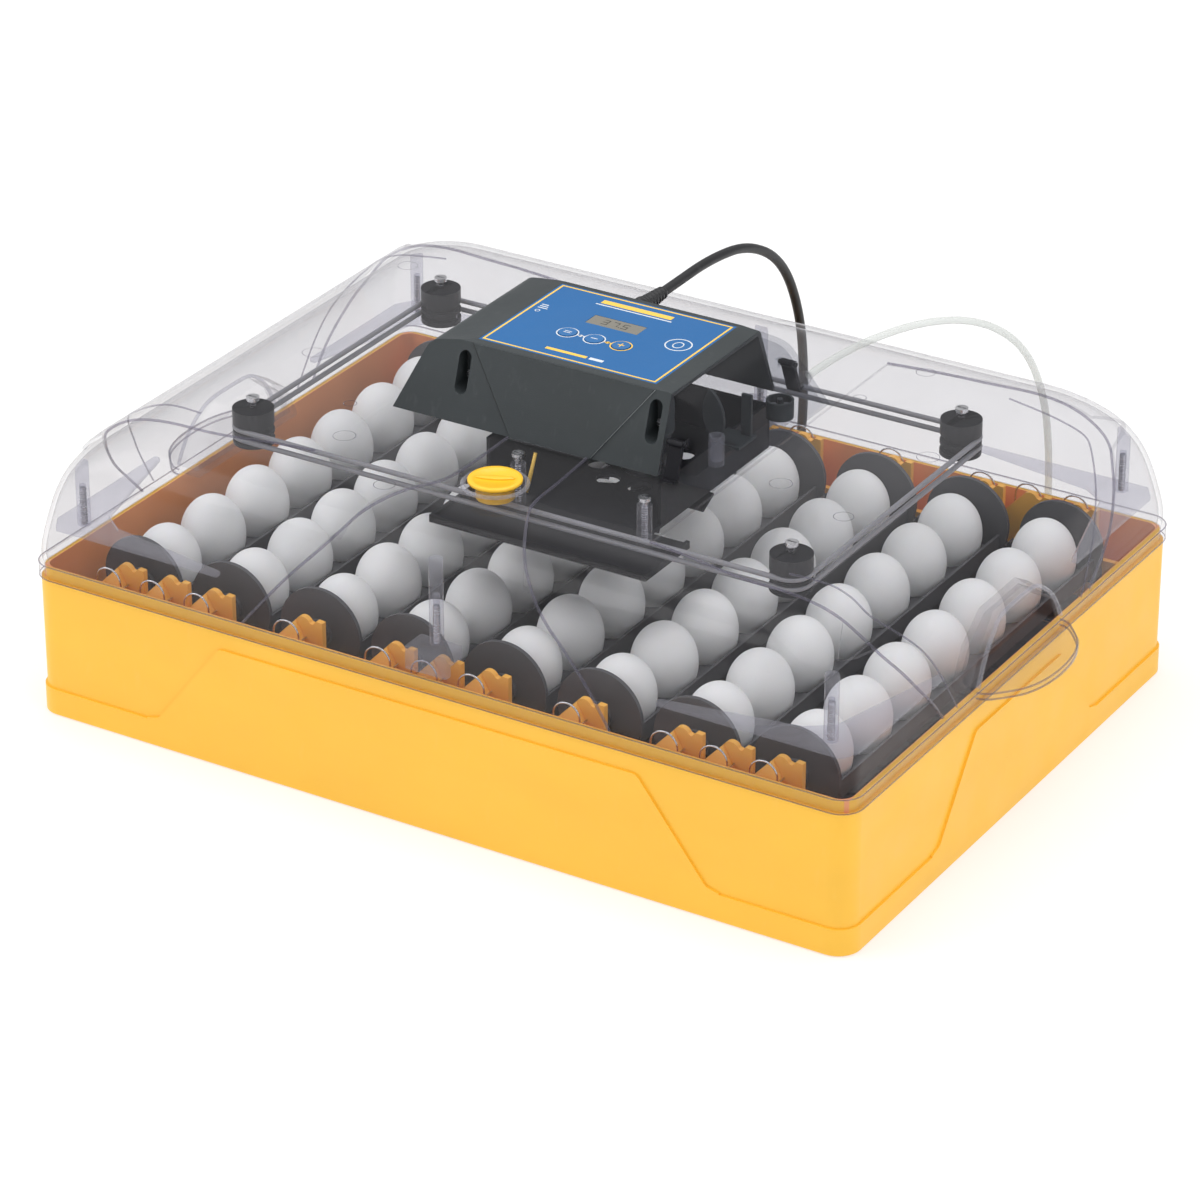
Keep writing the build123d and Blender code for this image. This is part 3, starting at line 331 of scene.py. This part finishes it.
def spline_curve(name, points, diameter, body, material):
    """One open NURBS line with these control points, in metres, as a round cord or bead."""
    data = bpy.data.curves.new(name, "CURVE")
    data.dimensions = "3D"
    data.bevel_depth = diameter / 2
    data.bevel_resolution = 5
    data.use_fill_caps = True
    line = data.splines.new("NURBS")
    line.points.add(len(points) - 1)
    for target, point in zip(line.points, points):
        target.co = (*point, 1.0)
    line.order_u = 3
    line.use_endpoint_u = True
    line.resolution_u = 8
    return add_object(name, data, body, material)


# ---------------------------------------------------------------- cords
CORD_D = 6.6 * MM
MAINS_ROUTE = [
    (-14, 78, 244), (-14, 106, 244), (-12, 150, 246.5), (-9, 196, 241), (-5, 236, 216), (-2, 257, 170),
    (-1, 263, 118), (-3, 264, 70), (-9, 265, 34), (-26, 268, 11), (-52, 272, 4.2)]
COIL_CENTRE = (-95.0, 312.0)
TURN_STEPS = 16
MAINS_TAIL = [(-38, 348, 8.5), (-20, 348, 7)]
TUBE_D = 5.0 * MM
TUBE_ROUTE = [
    (100, 84, 216), (100, 103, 216), (116, 130, 226), (142, 162, 234), (166, 194, 228), (182, 226, 202),
    (189, 246, 160), (191, 254, 112), (190, 257, 66), (186, 262, 28), (172, 274, 8), (146, 286, 3.6),
    (120, 286, 3.6)]


def coil_points():
    """Turns that wind inwards on the table, step up a cord's width, and wind out again."""
    turns = 6.58
    inner, outer = 26.0, 46.0
    count = int(turns * TURN_STEPS)
    grow = 1 / math.cos(math.pi / TURN_STEPS)
    points = []
    for step in range(count + 1):
        share = step / count
        angle = math.radians(-72) - 2 * math.pi * turns * share
        if share < 0.5:
            radius = outer - (outer - inner) * share / 0.5
        else:
            radius = inner + (outer - 5 - inner) * (share - 0.5) / 0.5
        lift = min(1.0, max(0.0, (share - 0.47) / 0.06))
        height = 4.1 + 6.4 * lift * lift * (3 - 2 * lift)
        x = COIL_CENTRE[0] + radius * grow * math.cos(angle)
        y = COIL_CENTRE[1] + radius * grow * math.sin(angle)
        points.append((x, y, height))
    return points


def metres(points):
    return [(x * MM, y * MM, z * MM) for x, y, z in points]


mains = spline_curve("mains_cable", metres(MAINS_ROUTE + coil_points() + MAINS_TAIL), CORD_D, "lid",
                     "cord_black")
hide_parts("mains_lead", "mains_coil")
tube = spline_curve("silicone_tube", metres(TUBE_ROUTE), TUBE_D, "lid", "silicone_clear")
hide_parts("water_tube")

# ---------------------------------------------------------------- lid creases and marks (darker tint: painted shade)
lid_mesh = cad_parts["lid_shell"]
bpy.context.view_layer.update()


def on_lid(point, towards):
    """Where a straight line from a point outside first meets the lid, in mm."""
    start = Vector(point) * MM
    hit, spot = lid_mesh.ray_cast(start, Vector(towards))[:2]
    if not hit:
        raise RuntimeError(f"no lid at {point}")
    return spot / MM


def crease(name, spots, width=0.95, sink=0.3, look="lid_crease_painted_shade"):
    """A moulded line along the lid as a glossy bead whose darker tint is painted shade along the step;
    each spot names the side it is met from and two coordinates.
    """
    points = []
    for kind, a, b in spots:
        if kind == "top":
            spot = on_lid((a, b, 300), (0, 0, -1)) - Vector((0, 0, sink))
        elif kind == "front":
            spot = on_lid((a, -300, b), (0, 1, 0)) + Vector((0, sink, 0))
        elif kind == "back":
            spot = on_lid((a, 300, b), (0, -1, 0)) - Vector((0, sink, 0))
        elif kind == "right":
            spot = on_lid((400, a, b), (-1, 0, 0)) - Vector((sink, 0, 0))
        else:
            spot = on_lid((-400, a, b), (1, 0, 0)) + Vector((sink, 0, 0))
        points.append(spot * MM)
    return spline_curve(name, points, 2 * width * MM, "lid", look)


for side, tag in ((-1, "left"), (1, "right")):
    over = [(29, -72), (30, -105), (31, -141), (45, -168), (58, -192)]
    down = [(68, 184), (82, 168), (100, 150), (118, 129), (134, 109)]
    crease(f"front_crease_{tag}",
           [("top", side * x, y) for x, y in over] + [("front", side * x, z) for x, z in down])
    for end, where in ((-1, "front"), (1, "back")):
        crease(f"{where}_rib_{tag}", [
            ("top", side * 122, end * 150), ("top", side * 156, end * 155), ("top", side * 190, end * 160),
            ("top", side * 228, end * 162), ("top", side * 256, end * 162), (tag, end * 161, 183),
            (tag, end * 152, 170), (tag, end * 143, 159), (tag, end * 128, 140), (tag, end * 113, 125),
            (tag, end * 99, 109)], 0.9)
        crease(f"{where}_inner_rib_{tag}", [
            ("top", side * 214, end * 143), ("top", side * 236, end * 139), ("top", side * 254, end * 140),
            ("top", side * 268, end * 144), (tag, end * 140, 186), (tag, end * 124, 170),
            (tag, end * 112, 156), (tag, end * 99, 134), (tag, end * 84, 110)], 0.6)
    arch = [(-56, 110), (-52, 118), (-45, 129), (-36, 137), (-24, 145), (0, 145.5),
            (24, 145), (36, 137), (45, 129), (52, 118), (56, 110)]
    crease(f"finger_arch_{tag}", [(tag, y, z) for y, z in arch], 1.3, 0.5, "clear_edge")


def round_line(name, half_x, half_y, r, z, width, body, material):
    """A closed line round a rounded rectangle, in mm."""
    data = bpy.data.curves.new(name, "CURVE")
    data.dimensions = "3D"
    data.bevel_depth = width * MM
    data.bevel_resolution = 3
    line = data.splines.new("POLY")
    points = []
    for cx, cy, start in ((1, 1, 0), (-1, 1, 90), (-1, -1, 180), (1, -1, 270)):
        for step in range(9):
            angle = math.radians(start + step * 90 / 8)
            points.append((cx * (half_x - r) + r * math.cos(angle),
                           cy * (half_y - r) + r * math.sin(angle), z))
    line.points.add(len(points) - 1)
    for target, point in zip(line.points, points):
        target.co = (point[0] * MM, point[1] * MM, point[2] * MM, 1.0)
    line.use_cyclic_u = True
    return add_object(name, data, body, material)


tub_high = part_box("base_tub")[1]
BAND_X = tub_high[0] / MM - 0.25
BAND_Y = tub_high[1] / MM - 0.25
BAND_R = 15.2
# band lines in the crease tint: painted shade along the band's steps
for name, z, width in (("band_upper_line", 107.6, 0.45), ("band_lower_line", 98.0, 0.4)):
    round_line(name, BAND_X, BAND_Y, BAND_R, z, width, "lid", "lid_crease_painted_shade")


def lip_line(name, side):
    """Two moulded lines round the edge of a handle lip, in the crease's darker tint of painted shade."""
    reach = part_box("lid_shell")[1][0] / MM
    half = [(31, 56.4), (25.6, 56.2), (16, 46), (7.5, 35), (2.4, 19), (0.9, 0)]
    points = [(reach - back, -y) for back, y in half] + [(reach - back, y) for back, y in half[-2::-1]]
    for level, z in (("upper", 106.7), ("lower", 102.8)):
        spots = [(side * x * MM, y * MM, z * MM) for x, y in points]
        spline_curve(f"{name}_{level}", spots, 1.3 * MM, "lid", "lid_crease_painted_shade")


lip_line("lip_line_left", -1)
lip_line("lip_line_right", 1)


def lid_rings():
    """Faint round witness marks that the mould's pins leave on the lid, in the crease's darker tint, which
    is painted shade.
    """
    mesh = bmesh.new()
    places = [(-205, -30, 7.5), (-150, 70, 7.5), (-120, -120, 7.5), (150, -40, 7.5), (132, 94, 4.5),
              (-141, -82, 4.5), (210, 40, 7.5), (205, -60, 6.5), (-60, -165, 7.0), (150, 150, 6.5),
              (-230, 120, 7.0), (0, 140, 7.0)]
    for x, y, r in places:
        z = on_lid((x, y, 300), (0, 0, -1)).z + 0.02
        loops = []
        for radius, lift in ((r, 0), (r - 0.25, 0.14), (r - 0.5, 0)):
            loops.append([mesh.verts.new(((x + radius * math.cos(2 * math.pi * k / 28)) * MM,
                                          (y + radius * math.sin(2 * math.pi * k / 28)) * MM,
                                          (z + lift) * MM)) for k in range(28)])
        skin(mesh, loops, True)
    return from_bmesh("lid_pin_marks", mesh, "lid", "lid_crease_painted_shade")


lid_rings()


# ---------------------------------------------------------------- label print
label_low, label_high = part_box("label_panel")
LABEL_TOP = label_high[2] / MM
PRINT_LOW = LABEL_TOP + 0.01
PRINT_HIGH = LABEL_TOP + 0.09


def prism(mesh, outline, low, high):
    """A closed flat-topped solid on an outline, in mm."""
    lower = [mesh.verts.new((x * MM, y * MM, low * MM)) for x, y in outline]
    upper = [mesh.verts.new((x * MM, y * MM, high * MM)) for x, y in outline]
    cap_ends(mesh, [lower, upper])
    skin(mesh, [lower, upper])


def bar(mesh, x0, x1, y0, y1, low=PRINT_LOW, high=PRINT_HIGH):
    prism(mesh, [(x0, y0), (x1, y0), (x1, y1), (x0, y1)], low, high)


def hoop(mesh, cx, cy, outer, inner, steps=40, squash=1.0):
    """A flat ring, drawn as one band of quads on four loops."""
    loops = []
    for radius, z in ((outer, PRINT_LOW), (outer, PRINT_HIGH), (inner, PRINT_HIGH), (inner, PRINT_LOW)):
        loop = []
        for k in range(steps):
            angle = 2 * math.pi * k / steps
            x = cx + radius * math.cos(angle)
            y = cy + squash * radius * math.sin(angle)
            loop.append(mesh.verts.new((x * MM, y * MM, z * MM)))
        loops.append(loop)
    skin(mesh, loops, True)


LX0, LX1 = label_low[0] / MM, label_high[0] / MM
LY0, LY1 = label_low[1] / MM, label_high[1] / MM
yellow = bmesh.new()
white = bmesh.new()
FRAME_IN, FRAME_W = 1.6, 1.3
x0, x1, y0, y1 = LX0 + FRAME_IN, LX1 - FRAME_IN, LY0 + FRAME_IN, LY1 - FRAME_IN
bar(yellow, x0, x1, y0, y0 + FRAME_W)
bar(yellow, x0, x1, y1 - FRAME_W, y1)
bar(yellow, x0, x0 + FRAME_W, y0 + FRAME_W, y1 - FRAME_W)
bar(yellow, x1 - FRAME_W, x1, y0 + FRAME_W, y1 - FRAME_W)
BUTTONS = []
for key in ("left_button", "middle_button", "right_button"):
    low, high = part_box(key)
    BUTTONS.append(((low[0] + high[0]) / 2 / MM, (low[1] + high[1]) / 2 / MM, high[2] / MM))
for (x, y, top), ink in zip(BUTTONS, (white, white, yellow)):
    hoop(ink, x, y, 7.4, 6.55)
for first, second, ink in ((BUTTONS[0], BUTTONS[1], white), (BUTTONS[1], BUTTONS[2], yellow)):
    bar(ink, first[0] + 7.4, second[0] - 7.4, first[1] - 0.5, first[1] + 0.5)
    hoop(ink, (first[0] + second[0]) / 2, first[1], 1.5, 0.5, 16)
# plain rules where the maker's printing would be
bar(yellow, -28, 24, 39.0, 44.0)
bar(white, -30, 26, 36.0, 37.2)
bar(yellow, -22, 8, -38.6, -35.6)
bar(white, 10, 20, -38.6, -35.6)
hoop(white, 47.5, 9, 9.0, 8.1)
hoop(white, 47.5, 8.6, 3.6, 2.9, 28, 1.3)
for k in range(3):
    bar(white, -59, -54 + k, 17.5 - 2.6 * k, 18.5 - 2.6 * k)
hoop(white, -56.5, 8.2, 1.8, 1.3, 20)
from_bmesh("label_print_yellow", yellow, "lid", "yellow_print", smooth=False)
from_bmesh("label_print_white", white, "lid", "white_print", smooth=False)


def key_symbol(name, body, x, y, top, strokes, ink):
    mesh = bmesh.new()
    for dx0, dx1, dy0, dy1 in strokes:
        bar(mesh, x + dx0, x + dx1, y + dy0, y + dy1, top + 0.01, top + 0.08)
    from_bmesh(name, mesh, body, ink, smooth=False)


MENU = [(-2.6, 2.6, 0.6, 1.3), (-2.6, 2.6, -1.3, -0.6)]
MINUS = [(-2.4, 2.4, -0.4, 0.4)]
PLUS = MINUS + [(-0.4, 0.4, 0.4, 2.4), (-0.4, 0.4, -2.4, -0.4)]
key_symbol("left_key_symbol", "left_key", *BUTTONS[0], MENU, "white_print")
key_symbol("middle_key_symbol", "middle_key", *BUTTONS[1], MINUS, "white_print")
key_symbol("right_key_symbol", "right_key", *BUTTONS[2], PLUS, "yellow_print")

# seven-segment temperature on the display
SEGMENTS = {"3": "abcdg", "7": "abc", "5": "acdfg"}
display_low, display_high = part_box("display_window")
digits = bmesh.new()
lcd_z = display_high[2] / MM
lcd_x = (display_low[0] + display_high[0]) / 2 / MM
lcd_y = (display_low[1] + display_high[1]) / 2 / MM
TALL, WIDE, STROKE = 3.4, 4.2, 0.7
INK_LOW, INK_HIGH = lcd_z + 0.005, lcd_z + 0.04
POINT_X = lcd_x + 3.4
for index, digit in enumerate("375"):
    cx = lcd_x - 7.5 + index * 7.2
    cy = lcd_y
    left, right = cx - WIDE / 2, cx + WIDE / 2
    shapes = {
        "a": (left, right, cy + TALL - STROKE, cy + TALL),
        "d": (left, right, cy - TALL, cy - TALL + STROKE),
        "g": (left, right, cy - STROKE / 2, cy + STROKE / 2),
        "b": (right - STROKE, right, cy + STROKE / 2 + 0.1, cy + TALL - STROKE - 0.1),
        "c": (right - STROKE, right, cy - TALL + STROKE + 0.1, cy - STROKE / 2 - 0.1),
        "f": (left, left + STROKE, cy + STROKE / 2 + 0.1, cy + TALL - STROKE - 0.1)}
    for segment in SEGMENTS[digit]:
        bar(digits, *shapes[segment], INK_LOW, INK_HIGH)
bar(digits, POINT_X - 0.45, POINT_X + 0.45, lcd_y - TALL, lcd_y - TALL + 0.9, INK_LOW, INK_HIGH)
from_bmesh("display_digits", digits, "lid", "lcd_ink", smooth=False)


# ---------------------------------------------------------------- turned and threaded pieces
def lathe(name, profile, origin, axis, body, material, steps=36, ring=False):
    """A closed turned solid, or a ring; the profile is (radius, distance along the axis) in mm."""
    mesh = bmesh.new()
    turn = Vector((0, 0, 1)).rotation_difference(Vector(axis)).to_matrix()
    loops = []
    for radius, along in profile:
        loop = []
        for k in range(steps):
            angle = 2 * math.pi * k / steps
            spot = turn @ Vector((radius * math.cos(angle), radius * math.sin(angle), along))
            loop.append(mesh.verts.new((spot + Vector(origin)) * MM))
        loops.append(loop)
    skin(mesh, loops, ring)
    if not ring:
        cap_ends(mesh, loops)
    return from_bmesh(name, mesh, body, material)


def thread(mesh, x, y, low, high, root=2.03, depth=0.42, pitch=1.5, steps=18):
    """Helical screw thread as a closed sleeve."""
    rows = int((high - low) / pitch * 6)
    loops = []
    for row in range(rows + 1):
        z = low + (high - low) * row / rows
        loop = []
        for k in range(steps):
            phase = (z / pitch - k / steps) % 1.0
            radius = root + depth * (1 - abs(2 * phase - 1))
            angle = 2 * math.pi * k / steps
            loop.append(mesh.verts.new(((x + radius * math.cos(angle)) * MM,
                                        (y + radius * math.sin(angle)) * MM, z * MM)))
        loops.append(loop)
    skin(mesh, loops)
    cap_ends(mesh, loops)


threads = bmesh.new()
for x in (-272, 272):
    for y in (-194, 194):
        thread(threads, x, y, 133, 157)
for y in (-200, 200):
    thread(threads, 0, y, 125, 149)
for x, y in ((-9, -91), (88, -100)):
    thread(threads, x, y, 172, 198, 1.93, 0.4)
from_bmesh("screw_threads", threads, "lid", "steel")

PLATE_CUT_X = 82.0
PLATE_CUT_Y = -84.0
PLATE_WALL = 2.4


def plate_under_housing():
    """The CAD plate, cut short under the smoked end, with its end wall moved in to the cut."""
    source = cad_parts["fan_plate"]
    low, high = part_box("fan_plate")
    cut_x, cut_y = PLATE_CUT_X * MM, PLATE_CUT_Y * MM
    plate = add_object("fan_box_plate", source.data.copy(), "lid", "black_plastic")
    knife = bmesh.new()
    bmesh.ops.create_cube(knife, size=1.0)
    bmesh.ops.scale(knife, vec=(0.1, 0.2, 0.1), verts=knife.verts)
    bmesh.ops.translate(knife, vec=(cut_x + 0.05, cut_y + 0.1, low[2] + 0.04), verts=knife.verts)
    data = bpy.data.meshes.new("plate_knife")
    knife.to_mesh(data)
    knife.free()
    cutter = bpy.data.objects.new("plate_knife", data)
    scene.collection.objects.link(cutter)
    cut = plate.modifiers.new("cut", "BOOLEAN")
    cut.operation = "DIFFERENCE"
    cut.solver = "EXACT"
    cut.object = cutter
    bpy.context.view_layer.update()
    shaped = bpy.data.meshes.new_from_object(plate.evaluated_get(bpy.context.evaluated_depsgraph_get()))
    plate.modifiers.clear()
    plate.data = shaped
    plate.data.materials.clear()
    plate.data.materials.append(materials["black_plastic"])
    bpy.data.objects.remove(cutter)
    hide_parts("fan_plate")
    wall = bmesh.new()
    near, far = PLATE_CUT_X - PLATE_WALL, PLATE_CUT_X
    prism(wall, [(near, -70), (far, -70), (far, 66), (near, 66)], low[2] / MM + 2.9, high[2] / MM)
    from_bmesh("fan_box_end_wall", wall, "lid", "black_plastic", smooth=False)


plate_under_housing()

# vent cap: a broad disc over the lid's ring, with a low lens-shaped grip and the CAD cap's skirt
VENT = (0.0, -132.0)
VENT_DISC_R = 17.2


def vent_cap():
    cap = lathe("vent_cap_disc", [
        (0.2, 195), (10.3, 195), (12.2, 195.4), (12.2, 205.95), (VENT_DISC_R - 0.5, 205.95),
        (VENT_DISC_R, 206.3), (VENT_DISC_R, 207.7), (VENT_DISC_R - 0.7, 208.3), (13.6, 208.3),
        (13.2, 207.9), (0.2, 207.9)],
        (*VENT, 0), (0, 0, 1), "vent", "yellow_plastic", 64)
    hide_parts("vent_plug")
    grip = bmesh.new()
    turn = math.radians(25)
    rows = []
    for share, height in ((1.0, 207.8), (0.96, 208.7), (0.75, 209.0)):
        row = []
        for k in range(40):
            angle = 2 * math.pi * k / 40
            along = 12.4 * share * math.cos(angle)
            across = 3.0 * share * math.sin(angle) * (1 - 0.25 * math.cos(angle) ** 2)
            row.append(grip.verts.new(((VENT[0] + along * math.cos(turn) - across * math.sin(turn)) * MM,
                                       (VENT[1] + along * math.sin(turn) + across * math.cos(turn)) * MM,
                                       height * MM)))
        rows.append(row)
    skin(grip, rows)
    cap_ends(grip, rows)
    from_bmesh("vent_cap_grip", grip, "vent", "yellow_plastic")
    lathe("vent_ring", [
        (18.6, 203.6), (21.6, 203.6), (21.6, 204.6), (20.9, 205.3), (19.4, 205.3), (18.6, 204.6)],
        (*VENT, 0), (0, 0, 1), "lid", "clear_edge", 64, ring=True)


vent_cap()


def painted_panel_edge_lines():
    """Painted shade and highlight down both edges of the housing's front panel: a near-black line on the
    left for the shadow where the wing sits back, a light grey line on the right for the highlight along
    its edge.
    """
    for name, side, ink, radius in (("panel_painted_shadow_left", -1, "painted_groove_shadow", 0.6),
                                    ("panel_painted_highlight_right", 1, "painted_edge_highlight", 0.3)):
        top, foot = (side * 66.4, -51.3, 251.6), (side * 29.5, -68.3, 202.6)
        points = []
        for step in range(6):
            share = step / 5
            points.append(tuple((a + (b - a) * share) * MM for a, b in zip(top, foot)))
        spline_curve(name, points, 2 * radius * MM, "lid", ink)


painted_panel_edge_lines()

# strain relief: a ribbed taper that grips the lead where it leaves the housing
relief = [(0.3, -14), (5.1, -14), (5.1, 0), (6.6, 0), (6.6, 2.6)]
for k in range(6):
    start = 3.6 + k * 4.0
    radius = 5.9 - k * 0.28
    relief += [(radius - 0.9, start - 0.7), (radius - 0.9, start), (radius, start + 0.4),
               (radius - 0.1, start + 2.6)]
relief += [(3.55, 28.0), (0.3, 28.0)]
strain = lathe("strain_relief", relief, (-14, 66, 244), (0, 1, 0), "lid", "cord_black")
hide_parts("cord_grommet")

# short sleeve of the sensor's leads, between the housing and the plate
lathe("sensor_sleeve", [(0.2, 0), (1.3, 0), (1.3, 14), (1.15, 14.4), (1.15, 26), (0.2, 26)],
      (-12, -77, 172), (0.08, 0.32, 1), "lid", "yellow_print", 20)


PLUG_Y = 348
PLUG_Z = 7
EASING = 0.55


def plug():
    """Flat moulded plug with eased edges."""
    mesh = bmesh.new()
    rows = []
    for x, half in ((-20, 5.6), (-15, 7.2), (-10, 10.2), (-5, 12.4), (2, 13.0), (14.5, 13.0), (16, 12.2)):
        tall = 6.9 if x > -8 else 4.8 + 2.1 * (x + 20) / 12
        ring = []
        for k in range(24):
            angle = 2 * math.pi * k / 24
            across, up = math.cos(angle), math.sin(angle)
            y = PLUG_Y + half * math.copysign(abs(across) ** EASING, across)
            z = PLUG_Z + tall * math.copysign(abs(up) ** EASING, up)
            ring.append(mesh.verts.new((x * MM, y * MM, z * MM)))
        rows.append(ring)
    skin(mesh, rows)
    cap_ends(mesh, rows)
    piece = from_bmesh("plug_body", mesh, "lid", "cord_black")
    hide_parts("mains_plug")
    return piece


plug_body = plug()


def coil_tie():
    """Strap round the coil's turns."""
    mesh = bmesh.new()
    inner = COIL_CENTRE[0] + 21.0
    outer = COIL_CENTRE[0] + 51.4
    low, high = 0.0, 14.4
    y0, y1 = COIL_CENTRE[1] - 7, COIL_CENTRE[1] + 7
    loops = []
    for grow in (0.0, -0.7):
        for y in (y0, y1):
            corners = []
            for sx, sz, start in ((1, 1, 0), (-1, 1, 90), (-1, -1, 180), (1, -1, 270)):
                for step in range(5):
                    angle = math.radians(start + step * 22.5)
                    r = 3.0 + grow
                    cx = (outer + grow - r) if sx > 0 else (inner - grow + r)
                    cz = (high + grow - r) if sz > 0 else (low - grow + r)
                    corners.append(mesh.verts.new(((cx + r * math.cos(angle)) * MM, y * MM,
                                                   (cz + r * math.sin(angle)) * MM)))
            loops.append(corners)
    skin(mesh, [loops[0], loops[1], loops[3], loops[2]], True)
    return from_bmesh("coil_tie", mesh, "lid", "black_rubber")


tie = coil_tie()


# ---------------------------------------------------------------- floor and light
def floor():
    data = bpy.data.meshes.new("floor")
    far = 9.0
    data.from_pydata([(-far, -far, 0), (far, -far, 0), (far, far, 0), (-far, far, 0)], [], [(0, 1, 2, 3)])
    piece = bpy.data.objects.new("floor", data)
    scene.collection.objects.link(piece)
    material, tree, out, place = new_material("floor_white")
    shade = ramp(tree, noise(tree, place, 3.0), (0.52, 0.52, 0.52, 1), (0.54, 0.54, 0.54, 1))
    shader = put(tree, "ShaderNodeBsdfPrincipled", Base_Color=shade, Roughness=0.8,
                 Emission_Color=(1, 1, 1, 1), Emission_Strength=0.47)
    tree.links.new(shader.outputs[0], out.inputs["Surface"])
    data.materials.append(material)


floor()

world = bpy.data.worlds.new("studio")
scene.world = world
world.use_nodes = True
world_tree = world.node_tree
world_tree.nodes.clear()
sky_place = world_tree.nodes.new("ShaderNodeTexCoord").outputs["Generated"]
sky_split = put(world_tree, "ShaderNodeSeparateXYZ", Vector=sky_place)
sky = ramp(world_tree, sky_split.outputs["Z"], (0.80, 0.80, 0.82, 1), (1.0, 1.0, 1.0, 1), 0.0, 0.6)
sky_light = put(world_tree, "ShaderNodeBackground", Color=sky, Strength=0.60)
sky_out = world_tree.nodes.new("ShaderNodeOutputWorld")
world_tree.links.new(sky_light.outputs[0], sky_out.inputs["Surface"])


def soft_box(name, spot, aim, size, watts):
    lamp = bpy.data.lights.new(name, "AREA")
    lamp.shape = "RECTANGLE"
    lamp.size, lamp.size_y = size
    lamp.energy = watts
    holder = bpy.data.objects.new(name, lamp)
    scene.collection.objects.link(holder)
    holder.location = spot
    holder.rotation_euler = (Vector(aim) - Vector(spot)).to_track_quat("-Z", "Y").to_euler()


soft_box("key", (-2.4, -1.6, 2.2), (0, 0, 0.1), (3.0, 2.4), 50)
soft_box("fill", (2.6, -0.6, 1.6), (0, 0, 0.1), (2.2, 2.2), 19)
soft_box("top", (0.2, 0.2, 2.8), (0, 0, 0.1), (2.8, 2.8), 44)
